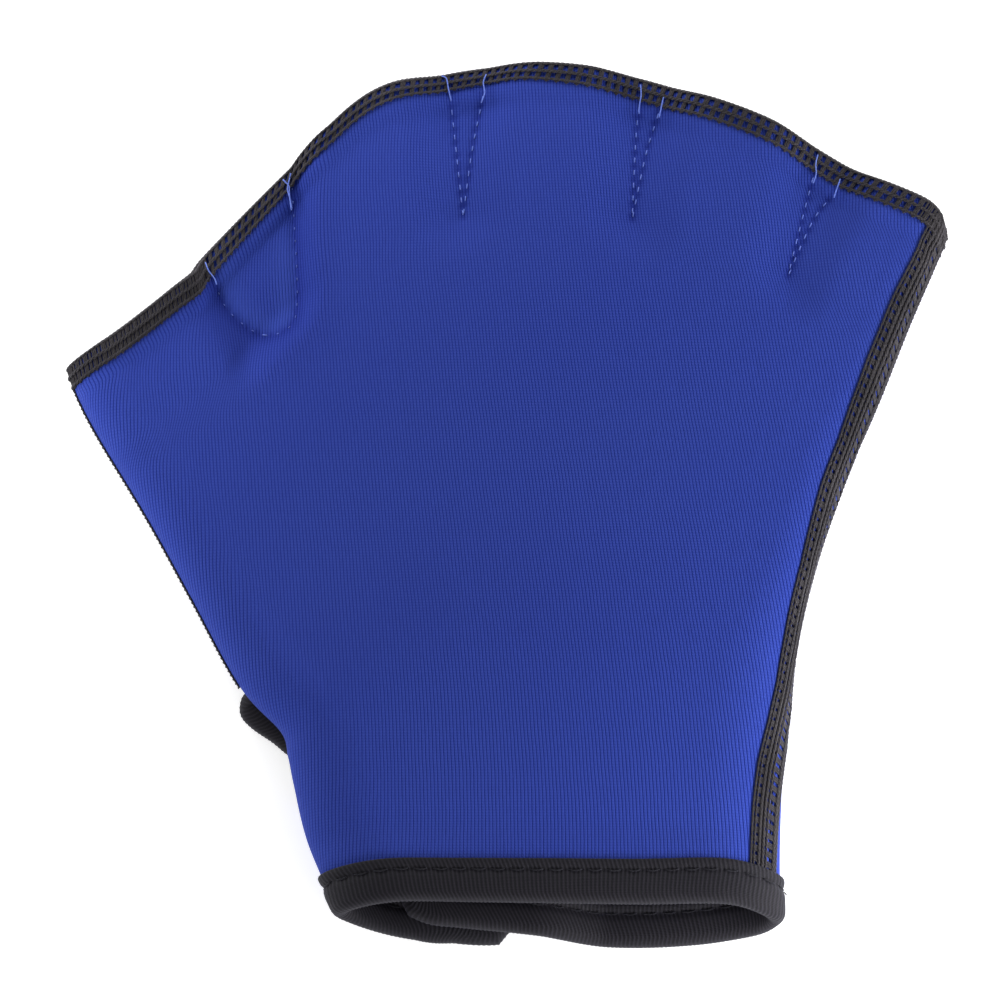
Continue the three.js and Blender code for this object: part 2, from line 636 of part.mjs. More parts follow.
function closurePatch() {
  const [w, h, r] = [PATCH_LENGTH / 2, PATCH_HEIGHT / 2, PATCH_CORNER];
  const shape = new THREE.Shape();
  shape.absarc(w - r, h - r, r, 0, Math.PI / 2);
  shape.absarc(r - w, h - r, r, Math.PI / 2, Math.PI);
  shape.absarc(r - w, r - h, r, Math.PI, 1.5 * Math.PI);
  shape.absarc(w - r, r - h, r, 1.5 * Math.PI, 2 * Math.PI);
  const geometry = new THREE.ExtrudeGeometry(shape, {
    depth: PATCH,
    bevelEnabled: false,
    curveSegments: CORNER_SEGMENTS,
  });
  const mesh = new THREE.Mesh(geometry, BLACK_HOOK);
  mesh.name = "closure_patch";
  const x = STRAP_HEM_END.x - TAPE_ROW + STRAP_END_SLANT - w;
  const rootMiddle = new THREE.Vector2(STRAP_ROOT.x, (STRAP_ROOT.y + planPoint("palm", 0, 0).y) / 2);
  const endMiddle = new THREE.Vector2(STRAP_HEM_END.x, STRAP_HEM_END.y + STRAP_HEIGHT / 2);
  const share = (x - rootMiddle.x) / (endMiddle.x - rootMiddle.x);
  mesh.position.set(x, lerp(rootMiddle.y, endMiddle.y, share), STRAP_LEVEL + CLOTH / 2 + CLEAR);
  mesh.rotation.z = endMiddle.sub(rootMiddle).angle();
  return mesh;
}

const glove = new THREE.Group();
glove.add(palmPanel(), backPanel(), cuffTape(), sideSeam(), thumbSeam(), closurePatch());
glove.add(fingerEdge("palm_finger_edge", palmGrid, PALM_UNDER + 1, PALM_SEAM, 1));
glove.add(fingerEdge("back_finger_edge", backGrid, BACK_EDGE, BACK_SEAM - 1, -1));

// The origin is under the middle of the glove, on the ground it lies on
const box = new THREE.Box3().setFromObject(glove);
const middle = box.getCenter(new THREE.Vector3());
glove.position.set(-middle.x, -middle.y, -box.min.z);

export default glove;
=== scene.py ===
"""Dresses a neoprene swim glove: knit cloth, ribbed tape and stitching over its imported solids.

The glove lies on its back with the palm up. Lengths in the script are millimetres in the plane
of the cloth, with X from the thumb to the little finger and Y from the wrist to the finger tips.
"""
import math

import bpy
import numpy as np
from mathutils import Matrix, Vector
from mathutils.bvhtree import BVHTree


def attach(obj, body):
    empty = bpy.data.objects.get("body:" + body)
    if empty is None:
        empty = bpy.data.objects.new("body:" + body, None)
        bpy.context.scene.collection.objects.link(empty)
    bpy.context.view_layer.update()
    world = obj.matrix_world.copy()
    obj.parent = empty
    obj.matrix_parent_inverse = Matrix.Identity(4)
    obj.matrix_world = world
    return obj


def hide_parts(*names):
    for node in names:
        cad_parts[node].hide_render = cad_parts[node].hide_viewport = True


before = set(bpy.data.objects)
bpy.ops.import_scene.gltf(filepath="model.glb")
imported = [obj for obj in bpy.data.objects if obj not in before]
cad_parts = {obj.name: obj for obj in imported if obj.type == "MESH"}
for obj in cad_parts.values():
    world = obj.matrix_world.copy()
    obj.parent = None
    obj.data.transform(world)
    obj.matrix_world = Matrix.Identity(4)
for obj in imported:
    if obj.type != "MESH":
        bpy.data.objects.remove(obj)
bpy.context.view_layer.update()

bl_info = {
    "name": "Webbed swim glove",
    "version": (1, 0, 0),
    "blender": (4, 5, 0),
    "location": "3D View > Sidebar > Swim glove",
    "description": "Cloth, binding tape and stitching of a webbed swim glove",
    "category": "Object",
}

# The same sizes as the solids have
CLOTH_WIDTH = 203.0
CLOTH_LENGTH = 208.5
CLOTH = 2.2  # thickness of the cloth
TAPE = 0.9
TAPE_WIDTH = 10.6
SERGE = 0.5  # thickness of the overlock
SERGE_WIDTH = 5.3
BAND = 0.7  # thickness of a seam's stitched band
BAND_REACH = 3.6  # from its seam to a band's border
SEAM_INSET = 4.0  # from the fold to a seam
SEAM_GAP = 0.3
CLEAR = 0.3  # between the cloth and what is sewn over it
LAYER_GAP = 0.4
CUFF_RISE = 15.0  # how far apart the panels stand at the cuff, the palm and the finger tips
PALM_RISE = 12.0
FINGER_RISE = 10.8
RISE_ABOVE = 0.56  # share of that above the folds at the sides
FOLD_RADIUS = 2.6
PINCH_REACH = 9.0  # how far round a web the back is drawn in, and then the palm
PALM_REACH = 13.0
# Share of a web's dip that shows on the palm side, and where the thumb's web and the tips end
THUMB_WEB_SHARE, WEB_SHARE = 0.5, 0.3
THUMB_WEB_ENDS = (0.3, 0.42)
TIPS = (0.88, 1.0)
THINS_TO_PALM = (0.28, 0.5)  # shares of the glove's length over which it thins
THINS_TO_TIPS = (0.6, 1.0)
TAPE_EASE = 8.0  # how far the cloth takes to rise to the tape, and then to the overlock
SERGE_EASE = 5.0
STRAP_HEIGHT = 33.0
STRAP_DROP = 5.5  # from the cuff's end down to the strap's
STRAP_SLOPE = 18.0  # how far the back takes to come down beyond the strap's end, and its top
STRAP_CLIMB = 10.0
STRAP_END = -0.0116  # as a share of the cloth's width
STRAP_END_SLANT = 5.8
STRAP_SWEEP = 2.5
STRAP_TOP = 0.19  # shares of the thumb side: strap's top, end of the opening, end of the seam
OPENING_CLOSES = 0.38
THUMB_SEAM_END = 0.41
LITTLE_SEAM = 2.4  # where the panels meet under the band, in from the little finger's fold
ORIGIN = np.array((-0.19633, -102.31826, 0.0))  # from the cloth's plane to the frame

HEM_LEFT = (-0.1913, 0.03)
HEM_RIGHT = (0.3093, 0.022)
THUMB_TIP = (-0.4955, 0.6465)
LITTLE_TIP = (0.4978, 0.798)
FINGER_EDGE = (
    THUMB_TIP, (-0.436, 0.687), (-0.365, 0.744), (-0.3435, 0.7715), (-0.251, 0.8665),
    (-0.1585, 0.952), (-0.066, 0.978), (0.0265, 0.988), (0.119, 0.98), (0.2115, 0.9555),
    (0.304, 0.922), (0.397, 0.868), (0.4845, 0.829), LITTLE_TIP,
)
THUMB_SIDE = (
    HEM_LEFT, (-0.2225, 0.107), (-0.238, 0.171), (-0.2445, 0.203), (-0.2535, 0.233),
    (-0.2995, 0.284), (-0.3545, 0.3845), (-0.4053, 0.477), (-0.4612, 0.57), (-0.4855, 0.617),
    THUMB_TIP,
)
LITTLE_SIDE = (
    HEM_RIGHT, (0.3081, 0.084), (0.3105, 0.1649), (0.3174, 0.2458), (0.329, 0.3383),
    (0.3509, 0.4308), (0.3822, 0.5232), (0.4215, 0.6158), (0.4585, 0.7086), LITTLE_TIP,
)
PALM_HEM = (
    HEM_LEFT, (-0.1272, 0.0368), (-0.0428, 0.0364), (0.0613, 0.0351), (0.1538, 0.034),
    (0.2545, 0.0345), HEM_RIGHT,
)
BACK_HEM = (
    HEM_LEFT, (-0.1238, 0.0355), (-0.0798, 0.0205), (0.0046, 0.0117), (0.096, 0.0025),
    (0.1538, 0.0006), (0.2117, 0.0035), (0.258, 0.009), (0.293, 0.0145), HEM_RIGHT,
)
# Webs between the fingers: mouth from and to along the finger edge, closed end, bluntness
WEBS = (
    (0.1727, 0.2888, 0.2235, 0.85, 0.5),
    (0.4731, 0.5104, 0.4813, 0.831, 0.0),
    (0.6587, 0.6848, 0.6676, 0.835, 0.0),
    (0.8446, 0.8746, 0.8514, 0.8364, 0.0),
)
LINE_HALF = 0.6  # half of a stitched web's width
BESIDE_WEB = (9.0, 3.5, 0.0)  # columns beside a web, by distance from its line
# The wrist opening's edge: share of the thumb side, and how far in from the fold
OPENING = (
    (0.0, 17.4), (0.13, 15.0), (STRAP_TOP, 10.5), (0.235, 8.0), (0.275, 1.4), (0.31, -1.4),
    (0.345, -2.5), (OPENING_CLOSES, -1.6), (THUMB_SEAM_END, SEAM_INSET),
)
COLUMNS_TURN = (0.4, 0.65)  # shares over which the columns turn from even to the webs' lines
EDGE_STEP = 0.02
COVER = 0.95  # how much of a binding's width covers the cloth
TAPE_HALF = CLOTH / 2 + CLEAR + TAPE
SERGE_OUT = CLEAR + SERGE
TAPE_ROW = (TAPE_WIDTH - TAPE_HALF) / COVER
SERGE_ROW = (SERGE_WIDTH - SERGE_OUT) / COVER
FOLD_STEPS = (0.0, 0.049, 0.234, 0.577)  # columns round a fold, by share of its depth
STRAP_FOLD_STEPS = (0.0, 0.06, 0.234, 0.577, 1.0)

# Stitch lines of the webs, as places in the cloth's plane
STITCH_LINES = (
    ((-73.5, 167.7), (-68.9, 158.4), (-65.3, 149.6), (-59.5, 144.1), (-54.4, 142.5),
     (-49.8, 144.9), (-48.6, 150.8), (-48.9, 163.0), (-50.0, 179.7), (-51.2, 184.4)),
    ((-13.0, 200.0), (-12.0, 190.0), (-10.0, 170.6), (-8.0, 186.0), (-5.4, 199.5)),
    ((31.0, 197.5), (30.2, 190.0), (29.3, 169.9), (32.6, 186.0), (35.6, 195.8)),
    ((71.6, 180.6), (70.3, 176.0), (65.5, 156.3), (71.5, 170.0), (76.4, 176.4)),
)
FIRST_STITCH = 1.2
# Loose ends of that thread, lying over the overlock
THREAD_TAILS = (
    ((-51.9, 179.3), (-50.5, 177.6), (-50.4, 175.6), (-49.9, 172.0)),
    ((-50.1, 180.5), (-50.8, 177.2), (-50.3, 174.9), (-49.8, 172.4)),
    ((-69.9, 159.4), (-69.2, 157.4), (-67.9, 155.8), (-67.3, 154.2)),
    ((-15.0, 203.9), (-13.9, 203.4), (-13.4, 200.8), (-12.8, 198.2)),
    ((-4.6, 204.4), (-5.3, 202.4), (-5.0, 199.9), (-5.8, 197.6)),
    ((31.2, 201.9), (31.4, 199.6), (31.0, 197.0), (30.9, 195.0)),
    ((36.6, 198.9), (36.1, 196.6), (35.6, 194.0)),
    ((72.5, 185.2), (72.0, 183.0), (72.1, 180.6), (71.4, 178.4)),
    ((77.7, 179.3), (77.0, 177.2), (76.2, 174.8)),
)


def smoothstep(value, low, high):
    share = np.clip((value - low) / (high - low), 0.0, 1.0)
    return share * share * (3.0 - 2.0 * share)


def mix(a, b, share):
    return a + (b - a) * share


def bell(distance, width):
    return np.exp(-((distance / width) ** 2))


def unit(vectors):
    length = np.linalg.norm(vectors, axis=-1, keepdims=True)
    return vectors / np.where(length > 0, length, 1)


def curve_through(place, values):
    """A smooth line through values, or points, at 0, 1, 2 and so on."""
    last = len(values) - 1
    k = np.clip(place.astype(int), 0, last - 1)
    w = (place - k).reshape(place.shape + (1,) * (values.ndim - 1))
    p0, p1 = values[np.maximum(k - 1, 0)], values[k]
    p2, p3 = values[k + 1], values[np.minimum(k + 2, last)]
    v0, v1 = (p2 - p0) / 2, (p3 - p1) / 2
    cubic = (2 * p1 - 2 * p2 + v0 + v1) * w**3 + (-3 * p1 + 3 * p2 - 2 * v0 - v1) * w**2
    return cubic + v0 * w + p1


# The glove's form: where each place of the palm and the back lies

class Outline:
    """A smooth edge of the cloth, read by share of its length."""

    def __init__(self, rows, samples=3000):
        points = np.array(rows) * (CLOTH_WIDTH, CLOTH_LENGTH)
        last = len(points) - 1
        place = np.linspace(0.0, last, samples)
        k = np.minimum(place.astype(int), last - 1)
        w = (place - k)[:, None]
        p0, p1 = points[np.maximum(k - 1, 0)], points[k]
        p2, p3 = points[k + 1], points[np.minimum(k + 2, last)]
        v0, v1 = (p2 - p0) / 2, (p3 - p1) / 2
        self.curve = (2 * p1 - 2 * p2 + v0 + v1) * w**3 + (-3 * p1 + 3 * p2 - 2 * v0 - v1) * w**2
        self.curve += v0 * w + p1
        steps = np.hypot(*np.diff(self.curve, axis=0).T)
        run = np.concatenate([[0.0], np.cumsum(steps)])
        self.length = run[-1]
        self.share = run / run[-1]
        self.first, self.last = points[0], points[-1]

    def at(self, share):
        x = np.interp(share, self.share, self.curve[:, 0])
        y = np.interp(share, self.share, self.curve[:, 1])
        return np.stack([x, y], axis=-1)


FINGERS, THUMB_FOLD, LITTLE_FOLD = Outline(FINGER_EDGE), Outline(THUMB_SIDE), Outline(LITTLE_SIDE)
HEMS = {"palm": Outline(PALM_HEM), "back": Outline(BACK_HEM)}


def plan(side, across, along):
    """Where a place across and along the cloth is in its plane."""
    across, along = np.broadcast_arrays(np.asarray(across, float), np.asarray(along, float))
    hem = HEMS[side]
    u, v = np.clip(across, 0, 1), np.clip(along, 0, 1)
    uu, vv = u[..., None], v[..., None]
    point = hem.at(u) * (1 - vv) + FINGERS.at(u) * vv
    point += THUMB_FOLD.at(v) * (1 - uu) + LITTLE_FOLD.at(v) * uu
    point -= hem.first * (1 - uu) * (1 - vv) + hem.last * uu * (1 - vv)
    point -= FINGERS.first * (1 - uu) * vv + FINGERS.last * uu * vv
    if np.any(across < 0):
        inward = plan(side, np.full_like(across, EDGE_STEP), along) - point
        beyond = np.minimum(across, 0)[..., None] / EDGE_STEP
        point = point + inward * beyond
    return point


ROW_SHARES = np.linspace(0, 1, 401)
ROW_LINES = plan("palm", np.linspace(0, 1, 25)[None, :], ROW_SHARES[:, None])
ROW_LENGTHS = np.linalg.norm(np.diff(ROW_LINES, axis=1), axis=2).sum(axis=1)


def row_length(along):
    """The palm's width at a share of its length."""
    return np.interp(along, ROW_SHARES, ROW_LENGTHS)


def column_length(side, across):
    """Straight from the hem to the finger edge."""
    u = np.clip(across, 0, 1)
    return np.linalg.norm(FINGERS.at(u) - HEMS[side].at(u), axis=-1)


STRAP_SHOULDER = STRAP_TOP - TAPE_ROW / THUMB_FOLD.length
SHARES = (
    STRAP_SHOULDER, STRAP_TOP, 0.235, 0.275, 0.31, 0.345, OPENING_CLOSES, THUMB_SEAM_END,
    0.48, 0.55, 0.62, 0.68, 0.74, 0.79, 0.84, 0.885, 0.93,
)
LAST_ROW = len(SHARES) + 3
STRAP_ROW = 3
SEAM_ROW = 2 + SHARES.index(THUMB_SEAM_END)


def rise(along):
    """How far the panels stand apart in the middle of the glove."""
    below = mix(CUFF_RISE, PALM_RISE, smoothstep(along, *THINS_TO_PALM))
    return mix(below, FINGER_RISE, smoothstep(along, *THINS_TO_TIPS))


def fold_depth(along):
    """How far in from a fold the glove gets its full height."""
    return ((1 - RISE_ABOVE) * rise(along)) ** 2 / FOLD_RADIUS


def web_lines(web, along):
    """A web's middle line and half of its width there."""
    start, end, root_across, root_along, blunt = web
    share = np.clip((along - root_along) / (1 - root_along), 0, 1)
    half = (end - start) / 2 * row_length(1.0)
    middle = mix(root_across, (start + end) / 2, share)
    return middle, np.maximum(mix(blunt, 1, share) * half, LINE_HALF)


def web_distance(across, along):
    """How far places are from the nearest web."""
    least = np.full(np.broadcast(across, along).shape, 1e3)
    for web in WEBS:
        middle, half = web_lines(web, along)
        beside = np.maximum(np.abs(across - middle) * row_length(along) - half, 0)
        below = np.maximum(web[3] - along, 0) * column_length("palm", across)
        least = np.minimum(least, np.hypot(beside, below))
    return least


def edge_lift(side, across, along):
    """How far bindings and bands lift the cloth off what it lies on, and the overlock's part."""
    length = column_length(side, across)
    tape = 1 - smoothstep(along * length, TAPE_ROW, TAPE_ROW + TAPE_EASE)
    thread = 1 - smoothstep((1 - along) * length, SERGE_ROW, SERGE_ROW + SERGE_EASE)
    band_end = SEAM_INSET + BAND_REACH
    beside = 1 - smoothstep(across * row_length(along), band_end, 2 * band_end)
    seam = beside * smoothstep(along, STRAP_TOP, THUMB_SEAM_END) * (CLEAR + BAND)
    out = thread * SERGE_OUT
    return tape * (TAPE_HALF - CLOTH / 2) + np.maximum(out, seam), out


def dip(distance, reach):
    """A smooth dent, 1 in its middle and 0 from its reach on."""
    return np.cos(np.pi / 2 * np.minimum(distance / reach, 1)) ** 2


def separation(side, across, along):
    """How far the panels stand apart, and how far a web draws the palm and the back in."""
    inside = np.maximum(np.minimum(across, 1 - across), 0) * row_length(along)
    turned = 1 - np.minimum(inside / fold_depth(along), 1)
    full = rise(along) * np.sqrt(np.maximum(1 - turned**2, 0))
    least = CLOTH + LAYER_GAP + 2 * edge_lift(side, across, along)[1]
    drawn = np.maximum(full - least, 0)
    share = mix(THUMB_WEB_SHARE, WEB_SHARE, smoothstep(across, *THUMB_WEB_ENDS))
    share = mix(share, RISE_ABOVE, smoothstep(along, *TIPS))
    distance = web_distance(across, along)
    palm_dip = drawn * share * dip(distance, PALM_REACH)
    return full, palm_dip, drawn * (1 - share) * dip(distance, PINCH_REACH)


def fold_level(side, across, along):
    """Height of the folds at the glove's sides."""
    return CLOTH / 2 + edge_lift(side, across, along)[0] + (1 - RISE_ABOVE) * rise(along)


def palm_surface(across, along):
    """The middle of the palm's cloth."""
    across, along = np.broadcast_arrays(np.asarray(across, float), np.asarray(along, float))
    flat = plan("palm", across, along)
    full, palm_dip, _ = separation("palm", across, along)
    height = fold_level("palm", across, along) + RISE_ABOVE * full - palm_dip
    return np.concatenate([flat, height[..., None]], axis=-1)


STRAP_LEVEL = TAPE_HALF
OVER_STRAP = STRAP_LEVEL + 2 * TAPE_HALF + LAYER_GAP
STRAP_ROOT = plan("palm", 0.0, STRAP_TOP)
STRAP_HEM_END = np.array((STRAP_END * CLOTH_WIDTH, HEM_LEFT[1] * CLOTH_LENGTH - STRAP_DROP))


def opening_inside(along):
    """How far in from the thumb's fold the wrist opening's edge lies."""
    shares, insides = zip(*OPENING)
    return np.interp(along, shares, insides)


def back_surface(across, along):
    """The middle of the back's cloth, which lies over the strap at the wrist."""
    across, along = np.broadcast_arrays(np.asarray(across, float), np.asarray(along, float))
    flat = plan("back", across, along)
    full, _, back_dip = separation("back", across, along)
    ring = fold_level("back", across, along) - (1 - RISE_ABOVE) * full + back_dip
    inside = opening_inside(along)
    from_opening = across * row_length(along) - inside
    under_tape = 1 - smoothstep(from_opening, TAPE_ROW, 2 * TAPE_ROW)
    lift = np.maximum(edge_lift("back", across, along)[0], (TAPE_HALF - CLOTH / 2) * under_tape)
    sewn = np.where(across > 0.5, 1.0, smoothstep(along, OPENING_CLOSES, THUMB_SEAM_END))
    at_opening = plan("back", inside / row_length(along), along)
    level = mix(flat, at_opening, under_tape[..., None])
    margin = TAPE_HALF + LAYER_GAP
    end = STRAP_HEM_END[0] + STRAP_END_SLANT + margin
    past_end = smoothstep(level[..., 0], end, end + STRAP_SLOPE)
    share = np.clip((level[..., 0] - STRAP_ROOT[0]) / (STRAP_HEM_END[0] - STRAP_ROOT[0]), 0, 1)
    top = mix(STRAP_ROOT[1], STRAP_HEM_END[1] + STRAP_HEIGHT, share) + margin
    past_top = smoothstep(level[..., 1], top, top + STRAP_CLIMB)
    on_strap = (1 - past_end) * (1 - past_top)
    height = mix(mix(CLOTH / 2 + lift, ring, sewn), OVER_STRAP, on_strap)
    return np.concatenate([flat, height[..., None]], axis=-1)


# The panels: columns across and rows along the cloth

def row_places(side, across):
    """Places along a column for each row: from the hem, as shares, and from the finger tips."""
    at_hem, at_tips = column_length(side, across(0.0)), column_length(side, across(1.0))
    return np.array((0.0, TAPE_ROW / at_hem, *SHARES, 1 - SERGE_ROW / at_tips, 1.0))


def from_fold(share):
    """A column that follows a fold; share is of the fold's depth."""
    return lambda along: share * fold_depth(along) / row_length(along)


def middle_columns(first, last):
    """Columns between two others, that follow the webs' lines towards the fingers."""
    lines = []
    per_web = 2 * len(BESIDE_WEB)
    for web in WEBS:
        beside = [(offset, -1) for offset in BESIDE_WEB]
        beside += [(offset, 1) for offset in reversed(BESIDE_WEB)]
        for offset, sign in beside:
            def line(along, web=web, offset=offset, sign=sign):
                middle, half = web_lines(web, along)
                scale = row_length(along) / row_length(1.0)
                return middle + sign * (half + offset * scale) / row_length(along)
            lines.append(line)
    follow = []
    for k, line in enumerate(lines):
        if k % per_web == 0:
            before = lines[k - 1] if k else first
            follow.append(lambda along, a=before, b=line: (a(along) + b(along)) / 2)
        follow.append(line)
    columns = []
    for k, column in enumerate(follow):
        def placed(along, column=column, share=(k + 1) / (len(follow) + 1)):
            even = mix(first(along), last(along), share)
            return mix(even, column(along), smoothstep(along, *COLUMNS_TURN))
        columns.append(placed)
    return columns


class Panel:
    """A cloth panel as a fine grid of points on its middle surface, read by column and row."""

    def __init__(self, column, last_column, spacing):
        rows = np.arange(LAST_ROW + 1, dtype=float)
        coarse = np.array([column(float(k), rows) for k in range(last_column + 1)])
        self.columns = self.refine(coarse, spacing)
        self.rows = self.refine(coarse.transpose(1, 0, 2), spacing)
        self.points = np.array([column(c, self.rows) for c in self.columns])
        self.normals = self.facing()

    @staticmethod
    def refine(coarse, spacing):
        """Places from one coarse line to the next, about a spacing apart."""
        places = [0.0]
        for k in range(len(coarse) - 1):
            gaps = np.linalg.norm(coarse[k + 1] - coarse[k], axis=1)
            gaps = gaps[np.isfinite(gaps)]
            count = max(1, math.ceil(np.percentile(gaps, 90) / spacing)) if len(gaps) else 1
            places.extend(k + (step + 1) / count for step in range(count))
        return np.array(places)

    def cells(self):
        """Each cell's normal, twice as long as the cell's area."""
        p = self.points
        return np.cross(p[1:, 1:] - p[:-1, :-1], p[:-1, 1:] - p[1:, :-1])

    def facing(self):
        """Each point's normal, from the cells round it."""
        cells = np.nan_to_num(unit(self.cells()))
        total = np.zeros_like(self.points)
        total[1:, 1:] += cells
        total[:-1, :-1] += cells
        total[1:, :-1] += cells
        total[:-1, 1:] += cells
        return unit(total)

    def sample(self, columns, rows):
        """Points and normals at places between the grid's own."""
        columns, rows = np.asarray(columns, float), np.asarray(rows, float)
        i = np.clip(np.searchsorted(self.columns, columns, "right") - 1, 0, len(self.columns) - 2)
        j = np.clip(np.searchsorted(self.rows, rows, "right") - 1, 0, len(self.rows) - 2)
        a = (columns - self.columns[i]) / (self.columns[i + 1] - self.columns[i])
        b = (rows - self.rows[j]) / (self.rows[j + 1] - self.rows[j])
        total, normal, weight = 0.0, 0.0, 0.0
        for dj, row_share in ((0, 1 - b), (1, b)):
            for di, column_share in ((0, 1 - a), (1, a)):
                point = self.points[i + di, j + dj]
                known = np.isfinite(point[:, 0]) * (column_share * row_share + 1e-9)
                total = total + np.nan_to_num(point) * known[:, None]
                normal = normal + self.normals[i + di, j + dj] * known[:, None]
                weight = weight + known
        return total / weight[:, None], unit(normal)


STRAP_STEPS = 7
PALM_FOLD = STRAP_STEPS
PALM_UNDER = 4  # the palm's column at the seam, under the thumb's fold
SEAM_NEAR, SEAM_FAR = SEAM_INSET - SEAM_GAP / 2, SEAM_INSET + SEAM_GAP / 2
BAND_END = SEAM_INSET + BAND_REACH
FOLD_ANGLES = np.arccos(1 - np.array(FOLD_STEPS))
STRAP_ANGLES = np.arccos(1 - np.array(STRAP_FOLD_STEPS))
# Columns past the folds, by distance from the fold
THUMB_WRAP = (BAND_END, SEAM_NEAR, 1.6, 0.3, 0.0)
LITTLE_WRAP = (0.0, 0.3, 1.2)
BACK_WRAP = (*LITTLE_WRAP, LITTLE_SEAM - SEAM_GAP / 2, BAND_END)


def little_side(inset):
    """A column at a distance from the little finger's fold."""
    return lambda along: 1 - inset / row_length(along)


PALM_RIGHT = [
    little_side(inset) for inset in (BAND_END, LITTLE_SEAM + SEAM_GAP / 2, LITTLE_WRAP[-1])
]
PALM_COLUMNS = [from_fold(share) for share in FOLD_STEPS]
PALM_COLUMNS += middle_columns(PALM_COLUMNS[-1], PALM_RIGHT[0]) + PALM_RIGHT
PALM_LAST = PALM_FOLD + len(PALM_COLUMNS) - 1
PALM_SEAM = PALM_LAST - 1


def strap_points(step, rows):
    """The strap, from its root at step -1 to its free end."""
    places = row_places("palm", lambda along: 0.0)
    along = np.interp(rows, np.arange(4), places[:4])
    root = palm_surface(np.zeros_like(rows), along)
    drop = root[:, 2] - STRAP_LEVEL
    depth = drop**2 / FOLD_RADIUS
    heights = (0.0, TAPE_ROW, STRAP_HEIGHT - TAPE_ROW, STRAP_HEIGHT)
    slants = (0.0, STRAP_END_SLANT, STRAP_END_SLANT, STRAP_END_SLANT / 2)
    end_x = STRAP_HEM_END[0] + np.interp(rows, np.arange(4), slants)
    end_y = STRAP_HEM_END[1] + np.interp(rows, np.arange(4), heights)
    reach = end_x - root[:, 0]
    folded = len(STRAP_ANGLES) - 1
    if step + 1 <= folded:
        inside = depth * (1 - math.cos(np.interp(step + 1, np.arange(folded + 1), STRAP_ANGLES)))
    else:
        flat = (depth, (depth + reach - TAPE_ROW) / 2, reach - TAPE_ROW, reach)
        k = min(int(step + 1 - folded), 2)
        inside = mix(flat[k], flat[k + 1], step + 1 - folded - k)
    turned = np.minimum(inside / depth, 1)
    height = root[:, 2] - drop * np.sqrt(np.maximum(1 - (1 - turned) ** 2, 0))
    share = inside / reach
    swept = 1 - (1 - share) ** STRAP_SWEEP
    level = np.clip(rows - 1, 0, 1)
    dropped = mix(swept, share, level)
    return np.stack([root[:, 0] + inside, mix(root[:, 1], end_y, dropped), height], axis=1)


def palm_column(c, rows):
    """Points of the palm's column c, from the strap's end over to the little finger's side."""
    if c < PALM_FOLD:
        points = np.full((len(rows), 3), np.nan)
        on_strap = rows <= STRAP_ROW
        points[on_strap] = strap_points(STRAP_STEPS - 1 - c, rows[on_strap])
        if c >= PALM_UNDER - 1:
            wrapped = np.arange(len(THUMB_WRAP)) + PALM_UNDER - 1
            inset = np.interp(c, wrapped, np.sqrt(THUMB_WRAP)) ** 2
            sewn = rows >= SEAM_ROW
            places = row_places("back", lambda along: inset / row_length(along))
            along = np.interp(rows[sewn], np.arange(LAST_ROW + 1), places)
            points[sewn] = back_surface(inset / row_length(along), along)
        return points
    k = c - PALM_FOLD
    if k <= len(FOLD_STEPS) - 1:
        angle = np.interp(k, np.arange(len(FOLD_STEPS)), FOLD_ANGLES)
        across = from_fold(1 - math.cos(angle))
    else:
        low = min(int(k), len(PALM_COLUMNS) - 2)
        def across(along):
            return mix(PALM_COLUMNS[low](along), PALM_COLUMNS[low + 1](along), k - low)
    along = np.interp(rows, np.arange(LAST_ROW + 1), row_places("palm", across))
    return palm_surface(across(along), along)


def opening_column(beyond, sewn_inset):
    """A column along the wrist opening, and from its end along the thumb's seam."""
    def across(along):
        sewn = along >= THUMB_SEAM_END - 1e-9
        inset = np.where(sewn, sewn_inset, opening_inside(along) + beyond)
        return inset / row_length(along)
    return across


OPENING_COLUMNS = [
    opening_column(0.0, SEAM_FAR),
    opening_column(TAPE_ROW / 2, BAND_END),
    opening_column(TAPE_ROW, SEAM_INSET + TAPE_ROW),
]
BACK_EDGE = 1


def back_fold_first(along):
    """Where the back starts to turn up to the little finger's fold."""
    return 1 - FOLD_STEPS[-1] * fold_depth(along) / row_length(along)


BACK_MIDDLE = middle_columns(OPENING_COLUMNS[-1], back_fold_first)
BACK_LINEAR = [OPENING_COLUMNS[-1], *BACK_MIDDLE, back_fold_first]
BACK_INNER = BACK_EDGE + len(OPENING_COLUMNS) - 1
BACK_TURN = BACK_INNER + len(BACK_LINEAR) - 1
BACK_FOLD = BACK_TURN + len(FOLD_STEPS) - 1
BACK_LAST = BACK_FOLD + len(BACK_WRAP) - 1
BACK_SEAM = BACK_LAST - 1


